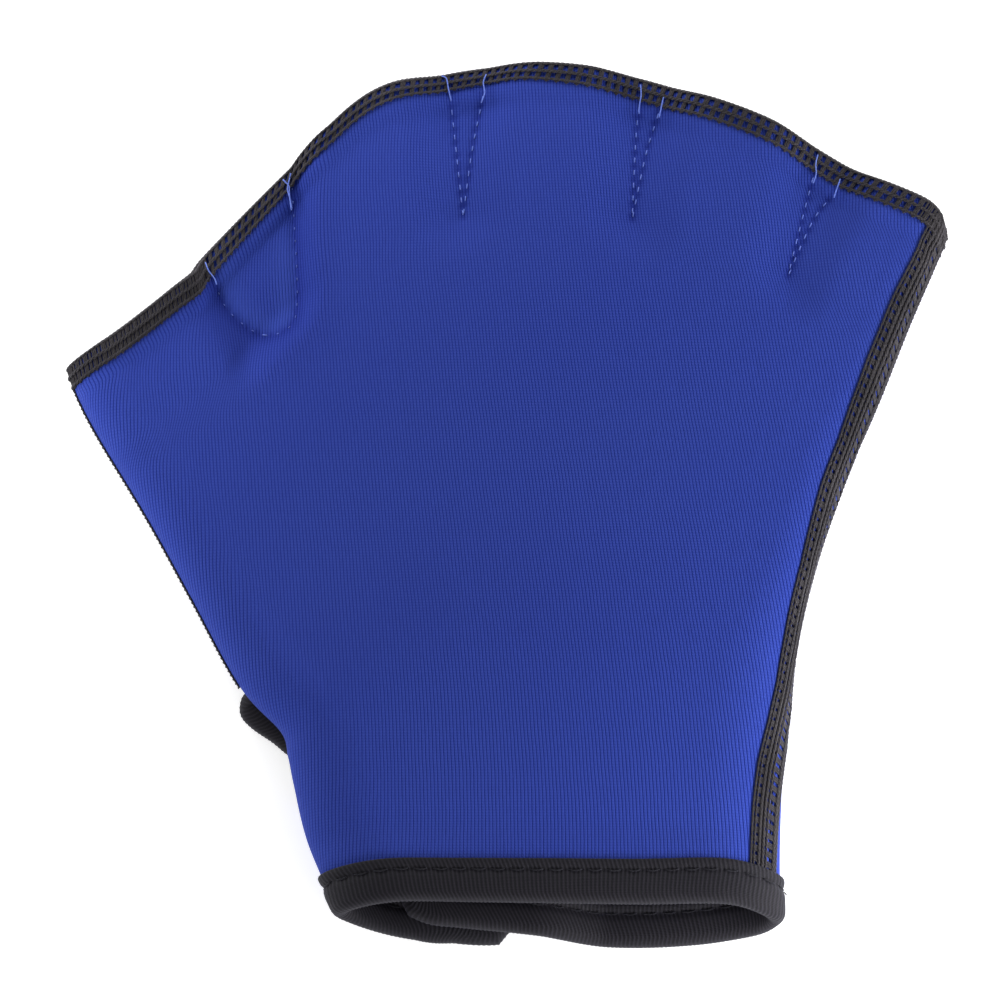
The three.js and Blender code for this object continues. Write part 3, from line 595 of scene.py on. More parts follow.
def back_column(c, rows):
    """Points of the back's column c, from the thumb's seam to under the little finger's band."""
    knots = np.arange(LAST_ROW + 1)
    if c < BACK_EDGE:
        points = np.full((len(rows), 3), np.nan)
        sewn = rows >= SEAM_ROW
        inset = mix(THUMB_WRAP[2], SEAM_FAR, c)
        places = row_places("back", lambda along: inset / row_length(along))
        along = np.interp(rows[sewn], knots, places)
        points[sewn] = back_surface(inset / row_length(along), along)
        return points
    if c < BACK_INNER:
        outer, between, inner = (
            column(row_places("back", column)) for column in OPENING_COLUMNS
        )
        halfway = np.where(knots >= SEAM_ROW, between, (outer + inner) / 2)
        middle = BACK_EDGE + 1
        if c <= middle:
            coarse = mix(outer, halfway, c - BACK_EDGE)
        else:
            coarse = mix(halfway, inner, c - middle)
        along = np.interp(rows, knots, row_places("back", OPENING_COLUMNS[0]))
        return back_surface(curve_through(rows, coarse), along)
    if c <= BACK_TURN:
        low = min(int(c - BACK_INNER), len(BACK_LINEAR) - 2)
        share = c - BACK_INNER - low
        near, far = BACK_LINEAR[low : low + 2]
        if low == 0:
            near_places = row_places("back", near)
            along = np.interp(rows, knots, mix(near_places, row_places("back", far), share))
            start = curve_through(rows, near(near_places))
            return back_surface(mix(start, far(along), share), along)

        def across_of(along):
            return mix(near(along), far(along), share)
        along = np.interp(rows, knots, row_places("back", across_of))
        return back_surface(across_of(along), along)
    if c <= BACK_FOLD:
        angle = np.interp(BACK_FOLD - c, np.arange(len(FOLD_STEPS)), FOLD_ANGLES)
        inside = from_fold(1 - math.cos(angle))
        along = np.interp(rows, knots, row_places("back", lambda v: 1 - inside(v)))
        return back_surface(1 - inside(along), along)
    wrapped = np.arange(len(BACK_WRAP)) + BACK_FOLD
    inset = np.interp(c, wrapped, np.sqrt(BACK_WRAP)) ** 2
    along = np.interp(rows, knots, row_places("palm", little_side(inset)))
    return palm_surface(1 - inset / row_length(along), along)


# Meshes

def to_frame(points):
    """From millimetres in the cloth's plane to metres in the frame."""
    return (np.asarray(points) + ORIGIN) / 1000.0


def add_object(name, points, faces, material, uv=None, second=None, second_from=0):
    """A mesh object; faces from second_from on take the second material."""
    mesh = bpy.data.meshes.new(name)
    mesh.from_pydata(to_frame(points).tolist(), [], faces)
    if uv is not None:
        layer = mesh.uv_layers.new(name="cloth")
        corners = np.empty(len(mesh.loops), dtype=np.int32)
        mesh.loops.foreach_get("vertex_index", corners)
        layer.data.foreach_set("uv", np.asarray(uv, dtype=np.float32)[corners].ravel())
    mesh.polygons.foreach_set("use_smooth", [True] * len(mesh.polygons))
    mesh.materials.append(material)
    if second is not None:
        mesh.materials.append(second)
        slots = [int(k >= second_from) for k in range(len(faces))]
        mesh.polygons.foreach_set("material_index", slots)
    mesh.update()
    piece = bpy.data.objects.new(name, mesh)
    bpy.context.scene.collection.objects.link(piece)
    return piece


def finish_piece(piece, slot, *nodes):
    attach(piece, "root")
    if nodes:
        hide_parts(*nodes)
    return piece


def line_distance(x, y, line):
    """Distance in the plane from points to a line, and how far along it they are."""
    least, along = np.full(x.shape, 1e3), np.zeros(x.shape)
    start = 0.0
    for (ax, ay), (bx, by) in zip(line[:-1], line[1:]):
        dx, dy = bx - ax, by - ay
        length = math.hypot(dx, dy)
        share = np.clip(((x - ax) * dx + (y - ay) * dy) / length**2, 0, 1)
        distance = np.hypot(x - ax - share * dx, y - ay - share * dy)
        closer = distance < least
        along = np.where(closer, start + share * length, along)
        least = np.minimum(least, distance)
        start += length
    return least, along


def within(x, y, line):
    """Whether points lie inside the area that a line closes."""
    inside = np.zeros(x.shape, bool)
    for (ax, ay), (bx, by) in zip(line, np.roll(line, -1, axis=0)):
        if ay != by:
            crosses = (y > min(ay, by)) & (y <= max(ay, by))
            inside ^= crosses & (x < ax + (y - ay) * (bx - ax) / (by - ay))
    return inside


def rounded_line(line, spacing=0.6):
    """Evenly spaced points on a smooth curve through a line's points."""
    points = np.array(line, float)
    place = np.linspace(0, len(points) - 1, 40 * len(points))
    dense = curve_through(place, points)
    run = np.concatenate([[0], np.cumsum(np.linalg.norm(np.diff(dense, axis=0), axis=1))])
    count = max(2, int(run[-1] / spacing))
    even = np.linspace(0, run[-1], count + 1)
    return np.stack([np.interp(even, run, dense[:, axis]) for axis in (0, 1)], axis=1)


def stitched_lines():
    """Each web's two straight lines, or one round line for the blunt web."""
    lines = [rounded_line(STITCH_LINES[0])]
    for line in STITCH_LINES[1:]:
        lines.append(rounded_line(line[:3]))
        lines.append(rounded_line(line[2:]))
    return lines


ROUND_WEB_SHADE = 3.2  # how far the cloth sinks outside the thumb web's round line, and the reach of the painted shade there
WALE_LEAN = (-0.0548, 0.00161, -4.5e-6)  # how the knit's ribs lean, by powers of the height
WALE_FAN = (0.9156, 0.000956)  # and how they close up towards the fingers


SINK_REACH, PAINTED_SHADE_REACH = 1.15, 0.9  # how far beside its stitches the cloth sinks, and how far the painted shade beside them reaches
MIDDLE_SHARE = 0.6  # the column that the knit's ribs are counted from


def cloth_piece(name, panel, keep, groove, pitch):
    """A sheet of cloth over the kept cells of a panel, pulled in where the webs are stitched."""
    points, normals = panel.points.copy(), panel.normals
    middle = np.argmin(np.abs(panel.columns - panel.columns[-1] * MIDDLE_SHARE))
    steps = np.nan_to_num(np.diff(points, axis=0))
    runs = []
    for axes in ([0, 1, 2], [0, 2]):
        run = np.cumsum(np.linalg.norm(steps[..., axes], axis=2), axis=0)
        run = np.concatenate([np.zeros((1, points.shape[1])), run])
        runs.append(run - run[middle] + points[middle, :, 0])
    across, wales = runs
    x, y = points[..., 0], points[..., 1]
    pull, painted_valley_shade, painted_crest_light = np.zeros(x.shape), np.zeros(x.shape), np.zeros(x.shape)
    for k, line in enumerate(stitched_lines()):
        distance, along = line_distance(x, y, line[::2])
        hole = np.cos(np.pi * (along - FIRST_STITCH - pitch / 2) / pitch) ** 2
        pull = np.maximum(pull, bell(distance, SINK_REACH) * mix(0.35, 1, hole))
        # Painted shade along each stitch line, darkest at the stitch holes
        painted_valley_shade = np.maximum(painted_valley_shade, bell(distance, PAINTED_SHADE_REACH) * mix(0.15, 1, hole))
        if k == 0:
            outside = ~within(x, y, line)
            slack = bell(distance, ROUND_WEB_SHADE) * outside
            pull = np.maximum(pull, 0.9 * slack)
            # Painted shade outside the round line: dark beside the sunk cloth, faint further out
            shade = 0.4 * bell(distance, 2.4 * ROUND_WEB_SHADE) * outside
            painted_valley_shade = np.maximum(painted_valley_shade, np.maximum(0.75 * slack, shade))
            # Painted light on the cloth just inside the round line, where it puffs up
            painted_crest_light = bell(distance - 2.4, 3.0) * ~outside * smoothstep(-y, -172, -160)
    known = np.isfinite(x)
    live = known[:-1, :-1] & known[1:, :-1] & known[1:, 1:] & known[:-1, 1:]
    centre_c = (panel.columns[1:] + panel.columns[:-1]) / 2
    centre_r = (panel.rows[1:] + panel.rows[:-1]) / 2
    live &= keep(centre_c[:, None], centre_r[None, :])
    outer = points + normals * (CLOTH / 2 - groove * pull)[..., None]
    inner = points - normals * CLOTH / 2
    number = np.full((2,) + x.shape, -1)
    used = np.zeros(x.shape, bool)
    for di in (0, 1):
        for dj in (0, 1):
            used[di : used.shape[0] - 1 + di, dj : used.shape[1] - 1 + dj] |= live
    count = used.sum()
    number[0][used] = np.arange(count)
    number[1][used] = np.arange(count) + count
    verts = np.concatenate([outer[used], inner[used]])
    lean = y * (WALE_LEAN[0] + WALE_LEAN[1] * y + WALE_LEAN[2] * y**2)
    fanned = wales * (WALE_FAN[0] + WALE_FAN[1] * y) + lean
    uv_one = np.stack([fanned[used], y[used]], axis=1) / 1000.0
    i, j = np.nonzero(live)
    ring = [(i, j), (i + 1, j), (i + 1, j + 1), (i, j + 1)]
    faces = np.stack([number[0][a, b] for a, b in ring], axis=1).tolist()
    faces += np.stack([number[1][a, b] for a, b in ring[::-1]], axis=1).tolist()
    sides_from = len(faces)
    padded = np.pad(live, 1)
    beside = ((0, -1), (1, 0), (0, 1), (-1, 0))
    for side, (di, dj) in enumerate(beside):
        open_side = ~padded[i + 1 + di, j + 1 + dj]
        a, b = ring[side], ring[(side + 1) % 4]
        quads = np.stack([number[1][a], number[1][b], number[0][b], number[0][a]], axis=1)
        faces += quads[open_side].tolist()
    knit, foam = material("blue knit"), material("foam core")
    uv = np.concatenate([uv_one, uv_one])
    piece = add_object(name, verts, faces, knit, uv, foam, sides_from)
    # Painted shade and painted light, stored per point for the cloth's material
    for label, values in (("painted_valley_shade", painted_valley_shade), ("painted_crest_light", painted_crest_light)):
        field = piece.data.attributes.new(label, "FLOAT", "POINT")
        field.data.foreach_set("value", np.tile(values[used], 2).astype(np.float32))
    cells = np.cross(points[1:, 1:] - points[:-1, :-1], points[:-1, 1:] - points[1:, :-1])
    area = np.linalg.norm(cells[live], axis=1).sum() / 2 / 1e6
    row_spans = np.where(used, across, np.nan)
    width = np.nanmax(np.nanmax(row_spans, axis=0) - np.nanmin(row_spans, axis=0)) / 1000
    length = (np.nanmax(y[used]) - np.nanmin(y[used])) / 1000
    return piece, (float(width), float(length)), float(area)


class Binding:
    """Stations along an edge, each with its edge point, inner point, normal and run length."""

    def __init__(self, legs, spacing):
        edges, inners, edge_normals, inner_normals = [], [], [], []
        for panel, stations, flip in legs:
            for (a, ai), (b, bi) in zip(stations[:-1], stations[1:]):
                ends, _ = panel.sample([a[0], b[0]], [a[1], b[1]])
                middles, _ = panel.sample([(a[0] + b[0]) / 2], [(a[1] + b[1]) / 2])
                span = np.linalg.norm(ends[0] - middles[0]) + np.linalg.norm(ends[1] - middles[0])
                count = max(1, math.ceil(span / spacing))
                share = np.arange(count) / count
                edge, edge_normal = panel.sample(mix(a[0], b[0], share), mix(a[1], b[1], share))
                inner, normal = panel.sample(mix(ai[0], bi[0], share), mix(ai[1], bi[1], share))
                edges.append(edge)
                inners.append(inner)
                edge_normals.append(edge_normal * flip)
                inner_normals.append(normal * flip)
        edge = np.concatenate(edges)
        keep = np.concatenate([[True], np.linalg.norm(np.diff(edge, axis=0), axis=1) > 1e-3])
        self.edge = edge[keep]
        self.inner = np.concatenate(inners)[keep]
        self.edge_normal = np.concatenate(edge_normals)[keep]
        self.inner_normal = np.concatenate(inner_normals)[keep]
        steps = np.linalg.norm(np.diff(self.edge, axis=0), axis=1)
        self.run = np.concatenate([[0], np.cumsum(steps)])
        self.length = self.run[-1]

    def at(self, run, inset, out, up):
        """Points on or off the binding; all four are arrays of one shape."""
        def read(values):
            return np.stack([np.interp(run, self.run, values[:, k]) for k in range(3)], axis=-1)
        edge, inner = read(self.edge), read(self.inner)
        width = np.linalg.norm(inner - edge, axis=-1)
        share = inset / np.maximum(width, 1e-6)
        turned = np.clip(share, 0, 1)[..., None]
        normal = mix(read(self.edge_normal), read(self.inner_normal), turned)
        normal /= np.linalg.norm(normal, axis=-1, keepdims=True)
        outward = (edge - inner) / np.maximum(width, 1e-6)[..., None]
        level = mix(edge, inner, share[..., None])
        return level + outward * out[..., None] + normal * up[..., None]


def tube(path, radius, sides, start=0):
    """Rings round a path of points; returns vertices, faces and uv."""
    ahead = np.gradient(path, axis=0)
    ahead /= np.maximum(np.linalg.norm(ahead, axis=1, keepdims=True), 1e-9)
    ref = np.where(np.abs(ahead[:, 2:3]) < 0.9, (0.0, 0.0, 1.0), (1.0, 0.0, 0.0))
    side = np.cross(ahead, ref)
    side /= np.linalg.norm(side, axis=1, keepdims=True)
    for k in range(1, len(side)):
        if side[k] @ side[k - 1] < 0:
            side[k] = -side[k]
    up = np.cross(side, ahead)
    turn = np.arange(sides) * 2 * math.pi / sides
    width = np.full(len(path), radius, float)
    ring = np.cos(turn)[None, :, None] * side[:, None] + np.sin(turn)[None, :, None] * up[:, None]
    verts = (path[:, None] + ring * width[:, None, None]).reshape(-1, 3)
    run = np.concatenate([[0], np.cumsum(np.linalg.norm(np.diff(path, axis=0), axis=1))])
    uv = np.stack([np.repeat(run, sides), np.tile(np.arange(sides) / sides, len(path))], axis=1)
    n = len(path)
    k, m = np.meshgrid(np.arange(n - 1), np.arange(sides), indexing="ij")
    a = start + k * sides + m
    b = start + k * sides + (m + 1) % sides
    faces = np.stack([a, a + sides, b + sides, b], axis=-1).reshape(-1, 4).tolist()
    faces.append([start + m for m in range(sides)])
    faces.append([start + (n - 1) * sides + m for m in range(sides)][::-1])
    return verts, faces, uv


def thread_piece(name, paths, material, sides=5):
    """Many threads as one piece; each path is (points, radius)."""
    verts, faces, uvs, start = [], [], [], 0
    for path, radius in paths:
        v, f, uv = tube(np.asarray(path), radius, sides, start)
        verts.append(v)
        faces.extend(f)
        uvs.append(uv)
        start += len(v)
    return add_object(name, np.concatenate(verts), faces, material, np.concatenate(uvs))


# Materials

def srgb(red, green, blue):
    def linear(value):
        value /= 255
        return value / 12.92 if value <= 0.04045 else ((value + 0.055) / 1.055) ** 2.4
    return (linear(red), linear(green), linear(blue), 1.0)


class Graph:
    """Short calls for building a node tree."""

    def __init__(self, tree):
        self.tree = tree

    def node(self, kind, **values):
        made = self.tree.nodes.new(kind)
        for key, value in values.items():
            setattr(made, key, value)
        return made

    def plug(self, socket, value):
        if hasattr(value, "links"):
            self.tree.links.new(value, socket)
        else:
            socket.default_value = value

    def uv_place(self):
        return self.node("ShaderNodeUVMap", uv_map="cloth").outputs[0]

    def object_place(self):
        return self.node("ShaderNodeTexCoord").outputs["Object"]

    def math(self, operation, *values):
        made = self.node("ShaderNodeMath", operation=operation)
        for socket, value in zip(made.inputs, values):
            self.plug(socket, value)
        return made.outputs[0]

    def mix_colour(self, share, first, second):
        made = self.node("ShaderNodeMix", data_type="RGBA")
        self.plug(made.inputs[0], share)
        self.plug(made.inputs[6], first)
        self.plug(made.inputs[7], second)
        return made.outputs[2]

    def noise(self, vector, scale, detail=2.0):
        made = self.node("ShaderNodeTexNoise")
        self.plug(made.inputs["Vector"], vector)
        made.inputs["Scale"].default_value = scale
        made.inputs["Detail"].default_value = detail
        return made.outputs["Fac"]

    def group(self, tree, **values):
        made = self.node("ShaderNodeGroup")
        made.node_tree = tree
        for key, value in values.items():
            self.plug(made.inputs[key.replace("_", " ")], value)
        return made.outputs


def new_group(name, inputs, outputs):
    tree = bpy.data.node_groups.new(name, "ShaderNodeTree")
    for label, kind, value in inputs:
        socket = tree.interface.new_socket(name=label, in_out="INPUT", socket_type=kind)
        if value is not None:
            socket.default_value = value
    for label, kind in outputs:
        tree.interface.new_socket(name=label, in_out="OUTPUT", socket_type=kind)
    graph = Graph(tree)
    return graph, graph.node("NodeGroupInput").outputs, graph.node("NodeGroupOutput").inputs


def knit_group():
    """Face of a plain knit: ribs of V-shaped stitches, with a groove between ribs."""
    number = "NodeSocketFloat"
    graph, given, result = new_group(
        "Knit face",
        [("Place", "NodeSocketVector", None), ("Ribs per metre", number, 1266.0),
         ("Stitches per metre", number, 1470.0)],
        [("Height", number), ("Groove", number)],
    )
    split = graph.node("ShaderNodeSeparateXYZ")
    graph.plug(split.inputs[0], given["Place"])
    wander = graph.noise(given["Place"], 60.0, 1.0)
    sway = graph.math("MULTIPLY_ADD", wander, 0.0006, split.outputs[0])
    rib = graph.math("MULTIPLY", sway, given["Ribs per metre"])
    place = graph.math("FRACT", rib)
    away = graph.math("ABSOLUTE", graph.math("MULTIPLY_ADD", place, 2.0, -1.0))
    crown = graph.math("SUBTRACT", 1.0, graph.math("POWER", away, 2.5))
    legs = graph.math("ABSOLUTE", graph.math("SINE", graph.math("MULTIPLY", rib, 2 * math.pi)))
    stitch = graph.math("MULTIPLY", split.outputs[1], given["Stitches per metre"])
    slope = graph.math("MULTIPLY_ADD", away, -0.5, stitch)
    loops = graph.math("ABSOLUTE", graph.math("SINE", graph.math("MULTIPLY", slope, math.pi)))
    ridge = graph.math("MULTIPLY_ADD", legs, 0.15, graph.math("MULTIPLY", crown, 0.85))
    body = graph.math("MULTIPLY", ridge, graph.math("MULTIPLY_ADD", loops, 0.35, 0.65))
    graph.plug(result["Height"], body)
    graph.plug(result["Groove"], graph.math("SUBTRACT", 1.0, body))
    return graph.tree


def speckle_group():
    """Uneven dye and stray fibres: a value round 0.5 that wanders over the surface."""
    graph, given, result = new_group(
        "Fibre speckle",
        [("Place", "NodeSocketVector", None), ("Coarse", "NodeSocketFloat", 25.0)],
        [("Fine", "NodeSocketFloat"), ("Broad", "NodeSocketFloat")],
    )
    fine = graph.noise(given["Place"], 2600.0, 3.0)
    broad = graph.node("ShaderNodeTexNoise")
    graph.plug(broad.inputs["Vector"], given["Place"])
    graph.plug(broad.inputs["Scale"], given["Coarse"])
    graph.plug(result["Fine"], fine)
    graph.plug(result["Broad"], broad.outputs["Fac"])
    return graph.tree


def ply_group():
    """Twisted plies of a thread, along and round it."""
    graph, given, result = new_group(
        "Thread ply",
        [("Place", "NodeSocketVector", None), ("Twist", "NodeSocketFloat", 1.6)],
        [("Height", "NodeSocketFloat")],
    )
    split = graph.node("ShaderNodeSeparateXYZ")
    graph.plug(split.inputs[0], given["Place"])
    turns = graph.math("MULTIPLY_ADD", split.outputs[0], given["Twist"], split.outputs[1])
    wave = graph.math("SINE", graph.math("MULTIPLY", turns, 4 * math.pi))
    graph.plug(result["Height"], graph.math("MULTIPLY_ADD", wave, 0.5, 0.5))
    return graph.tree


GROUPS = {}


def shared_group(name):
    if name not in GROUPS:
        GROUPS[name] = {"knit": knit_group, "speckle": speckle_group, "ply": ply_group}[name]()
    return GROUPS[name]


def new_material(name, roughness, sheen=0.0, sheen_tint=(1, 1, 1, 1)):
    material = bpy.data.materials.new(name)
    material.use_nodes = True
    material.node_tree.nodes.clear()
    graph = Graph(material.node_tree)
    shader = graph.node("ShaderNodeBsdfPrincipled")
    output = graph.node("ShaderNodeOutputMaterial")
    graph.plug(output.inputs["Surface"], shader.outputs[0])
    shader.inputs["Roughness"].default_value = roughness
    shader.inputs["Specular IOR Level"].default_value = 0.15
    shader.inputs["Sheen Weight"].default_value = sheen
    shader.inputs["Sheen Roughness"].default_value = 0.45
    shader.inputs["Sheen Tint"].default_value = sheen_tint
    return material, graph, shader


def bump(graph, shader, height, distance, strength=1.0):
    node = graph.node("ShaderNodeBump")
    node.inputs["Distance"].default_value = distance
    node.inputs["Strength"].default_value = strength
    graph.plug(node.inputs["Height"], height)
    graph.plug(shader.inputs["Normal"], node.outputs[0])


def cloth_material(name, ink, dark, light):
    material, graph, shader = new_material(name, 0.75, 0.06, srgb(120, 150, 235))
    place = graph.uv_place()
    knit = graph.group(shared_group("knit"), Place=place)
    solid = graph.object_place()
    speckle = graph.group(shared_group("speckle"), Place=solid, Coarse=18.0)
    # Painted shade in the knit's grooves and painted light on its ribs
    shade = graph.mix_colour(graph.math("POWER", knit["Groove"], 1.1), light, dark)
    fleck = graph.math("SUBTRACT", speckle["Fine"], 0.5)
    tone = graph.node("ShaderNodeClamp")
    graph.plug(tone.inputs[0], graph.math("MULTIPLY_ADD", fleck, 1.1, speckle["Broad"]))
    colour = graph.mix_colour(graph.math("MULTIPLY", tone.outputs[0], 0.35), shade, ink)
    # Painted shade in the stitched valleys, towards the groove tone
    painted_valley_shade = graph.node("ShaderNodeAttribute", attribute_name="painted_valley_shade").outputs["Fac"]
    colour = graph.mix_colour(graph.math("MULTIPLY", painted_valley_shade, 0.75), colour, dark)
    # Painted light inside the thumb web, towards the rib tone
    painted_crest_light = graph.node("ShaderNodeAttribute", attribute_name="painted_crest_light").outputs["Fac"]
    colour = graph.mix_colour(graph.math("MULTIPLY", painted_crest_light, 0.45), colour, light)
    graph.plug(shader.inputs["Base Color"], colour)
    fuzz = graph.math("MULTIPLY_ADD", speckle["Fine"], 0.35, knit["Height"])
    bump(graph, shader, fuzz, 0.00022, 0.8)
    return material


def tape_material(name, dark, light):
    material, graph, shader = new_material(name, 0.62, 0.12, srgb(150, 150, 175))
    place = graph.uv_place()
    split = graph.node("ShaderNodeSeparateXYZ")
    graph.plug(split.inputs[0], place)
    solid = graph.object_place()
    speckle = graph.group(shared_group("speckle"), Place=solid, Coarse=40.0)
    # Painted highlight on the crests of the tape's ribs
    painted_crest_light = graph.math("COSINE", graph.math("MULTIPLY", split.outputs[0], 2 * math.pi))
    painted_crest_light = graph.math("POWER", graph.math("MULTIPLY_ADD", painted_crest_light, 0.5, 0.5), 2.0)
    shade = graph.mix_colour(painted_crest_light, dark, light)
    colour = graph.mix_colour(graph.math("MULTIPLY", speckle["Fine"], 0.4), shade, dark)
    graph.plug(shader.inputs["Base Color"], colour)
    yarn = graph.math("SINE", graph.math("MULTIPLY", split.outputs[1], 2 * math.pi * 2.8))
    relief = graph.math("MULTIPLY_ADD", yarn, 0.25, graph.math("MULTIPLY", speckle["Fine"], 0.8))
    bump(graph, shader, relief, 0.00012, 0.6)
    return material


def foam_material(name, dark, light):
    material, graph, shader = new_material(name, 0.9)
    solid = graph.object_place()
    speckle = graph.group(shared_group("speckle"), Place=solid, Coarse=900.0)
    graph.plug(shader.inputs["Base Color"], graph.mix_colour(speckle["Broad"], dark, light))
    bump(graph, shader, speckle["Broad"], 0.0003, 0.7)
    return material


def thread_material(name, dark, light, sheen=0.1):
    material, graph, shader = new_material(name, 0.5, sheen, srgb(170, 175, 210))
    place = graph.uv_place()
    ply = graph.group(shared_group("ply"), Place=place)
    solid = graph.object_place()
    speckle = graph.group(shared_group("speckle"), Place=solid, Coarse=60.0)
    # Painted highlight on the thread's plies, varied at random
    shade = graph.mix_colour(graph.math("MULTIPLY", ply["Height"], speckle["Broad"]), dark, light)
    graph.plug(shader.inputs["Base Color"], shade)
    bump(graph, shader, ply["Height"], 0.00008, 0.8)
    return material


HOOK_PITCH = 0.0016


def hook_material(name, dark, light):
    material, graph, shader = new_material(name, 0.55)
    solid = graph.object_place()
    split = graph.node("ShaderNodeSeparateXYZ")
    graph.plug(split.inputs[0], solid)
    across = graph.math("SINE", graph.math("MULTIPLY", split.outputs[0], 2 * math.pi / HOOK_PITCH))
    along = graph.math("SINE", graph.math("MULTIPLY", split.outputs[1], 2 * math.pi / HOOK_PITCH))
    hooks = graph.math("MULTIPLY_ADD", graph.math("MULTIPLY", across, along), 0.5, 0.5)
    hooks = graph.math("POWER", hooks, 2.0)
    speckle = graph.group(shared_group("speckle"), Place=solid, Coarse=300.0)
    # Painted highlight on the raised hooks, varied at random
    tone = graph.math("MULTIPLY", hooks, speckle["Broad"])
    graph.plug(shader.inputs["Base Color"], graph.mix_colour(tone, dark, light))
    bump(graph, shader, hooks, 0.0006, 0.9)
    return material


MATERIALS = {}


def material(name):
    """The glove's finishes, each made when it is first asked for."""
    looks = bpy.context.scene.glove_colours
    if name in MATERIALS:
        return MATERIALS[name]
    blues = looks.cloth, looks.cloth_painted_shade, looks.cloth_painted_light
    blue, dark, light = (tuple(colour) + (1.0,) for colour in blues)
    tape, tape_rib_highlight = tuple(looks.tape) + (1.0,), tuple(looks.tape_rib_highlight) + (1.0,)
    thread, thread_ply_highlight = tuple(looks.thread) + (1.0,), tuple(looks.thread_ply_highlight) + (1.0,)
    stitch = tuple(looks.stitch) + (1.0,)
    if name == "blue knit":
        made = cloth_material(name, blue, dark, light)
    elif name == "foam core":
        made = foam_material(name, srgb(8, 8, 10), srgb(38, 38, 44))
    elif name == "ribbed tape":
        made = tape_material(name, tape, tape_rib_highlight)
    elif name == "black thread":
        made = thread_material(name, thread, thread_ply_highlight)
    elif name == "tape thread":
        # Painted highlight on the plies of the tape thread, in a lighter grey
        made = thread_material(name, tape, srgb(50, 49, 56))
    elif name == "pale blue thread":
        # Painted highlight on the plies in the stitch tone, over a darker blue
        made = thread_material(name, srgb(96, 120, 215), stitch, 0.2)
    elif name == "hook tape":
        made = hook_material(name, srgb(12, 12, 14), srgb(62, 62, 68))
    MATERIALS[name] = made
    return made


PANELS = {}


def panel(side):
    if side not in PANELS:
        spacing = bpy.context.scene.glove_sizes.cloth_mesh * 1000
        column, last = {"palm": (palm_column, PALM_LAST), "back": (back_column, BACK_LAST)}[side]
        PANELS[side] = Panel(column, last, spacing)
    return PANELS[side]


def colour_property(name, description, default):
    return bpy.props.FloatVectorProperty(
        name=name, description=description, subtype="COLOR", size=3, min=0, max=1,
        default=default[:3],
    )


def length_property(name, description, default):
    return bpy.props.FloatProperty(
        name=name, description=description, default=default / 1000, unit="LENGTH",
        precision=5, min=1e-5,
    )


class GloveColours(bpy.types.PropertyGroup):
    cloth: colour_property("Cloth", "Middle tone of the blue knit", srgb(26, 46, 149))
    # Painted shade in the knit's grooves and painted light on its ribs, also used round the web
    # stitches
    cloth_painted_shade: colour_property("Cloth grooves", "Tone between the knit's ribs", srgb(13, 29, 121))
    cloth_painted_light: colour_property("Cloth ribs", "Tone on the knit's ribs", srgb(57, 79, 176))
    tape: colour_property("Tape", "Binding tape between its ribs", srgb(26, 25, 30))
    # Painted highlight on the crests of the tape's ribs
    tape_rib_highlight: colour_property("Tape ribs", "Binding tape on its ribs", srgb(45, 43, 51))
    thread: colour_property("Thread", "Overlock thread in shade", srgb(30, 28, 31))
    # Painted highlight on the plies of the threads
    thread_ply_highlight: colour_property("Thread light", "The thread on its plies", srgb(104, 99, 103))
    stitch: colour_property("Web stitches", "Thread of the web lines", srgb(138, 160, 240))


class GloveSizes(bpy.types.PropertyGroup):
    cloth_mesh: length_property("Cloth mesh", "Edge length of the cloth's faces", 1.16)
    groove: length_property("Stitch groove", "How deep a web line pulls the cloth in", 0.55)
    rib: length_property("Tape rib", "Distance between two ribs of the tape", 0.97)
    overlock: length_property("Overlock pitch", "Distance between overlock stitches", 2.27)
    flatlock: length_property("Flatlock pitch", "Distance between side seam stitches", 2.3)
    web_stitch: length_property("Web stitch", "Length from stitch to stitch on a web", 3.05)
    tape_stitch: length_property("Tape stitch", "Length from stitch to stitch on the tape", 4.4)


class GLOVE_OT_palm(bpy.types.Operator):
    """Palm panel with the wrist strap turned under it"""

    bl_idname = "glove.palm"
    bl_label = "Palm cloth"

    def execute(self, context):
        def keep(c, r):
            return (c < PALM_SEAM) & ((r < STRAP_ROW) | (c > PALM_UNDER))

        sizes = context.scene.glove_sizes
        stitching = sizes.groove * 1000, sizes.web_stitch * 1000
        piece, flat, area = cloth_piece("palm_cloth", panel("palm"), keep, *stitching)
        finish_piece(piece, "blue_cloth", "palm_panel")
        return {"FINISHED"}


class GLOVE_OT_back(bpy.types.Operator):
    """Back panel with its open edge at the wrist"""

    bl_idname = "glove.back"
    bl_label = "Back cloth"

    def execute(self, context):
        def keep(c, r):
            return (c > BACK_EDGE) & (c < BACK_SEAM) & (r > -1)

        sizes = context.scene.glove_sizes
        stitching = sizes.groove * 1000, sizes.web_stitch * 1000
        piece, flat, area = cloth_piece("back_cloth", panel("back"), keep, *stitching)
        finish_piece(piece, "blue_cloth", "back_panel")
        return {"FINISHED"}


def cuff_binding(spacing):
    palm, back = panel("palm"), panel("back")
    top, opening = STRAP_ROW, SEAM_ROW - 1
    strap = [((2, top), (2, top - 1)), ((1, top), (1, top - 1)), ((0, top), (1, top - 1))]
    strap += [((0, j), (1, j)) for j in range(top - 1, 0, -1)] + [((0, 0), (1, 1))]
    hem = [((i, 0), (i, 1)) for i in range(1, PALM_SEAM + 1)]
    under = [((i, 0), (i, 1)) for i in range(BACK_SEAM, BACK_EDGE + 1, -1)]
    under += [((BACK_EDGE + 1, 0), (BACK_EDGE + 2, 1)), ((BACK_EDGE, 0), (BACK_EDGE + 2, 1))]
    under += [((BACK_EDGE, j), (BACK_EDGE + 2, j)) for j in (*range(1, opening + 1), opening + 0.7)]
    return Binding([(palm, strap + hem, 1), (back, under, -1)], spacing)


GROOVE_INSET = 5.6
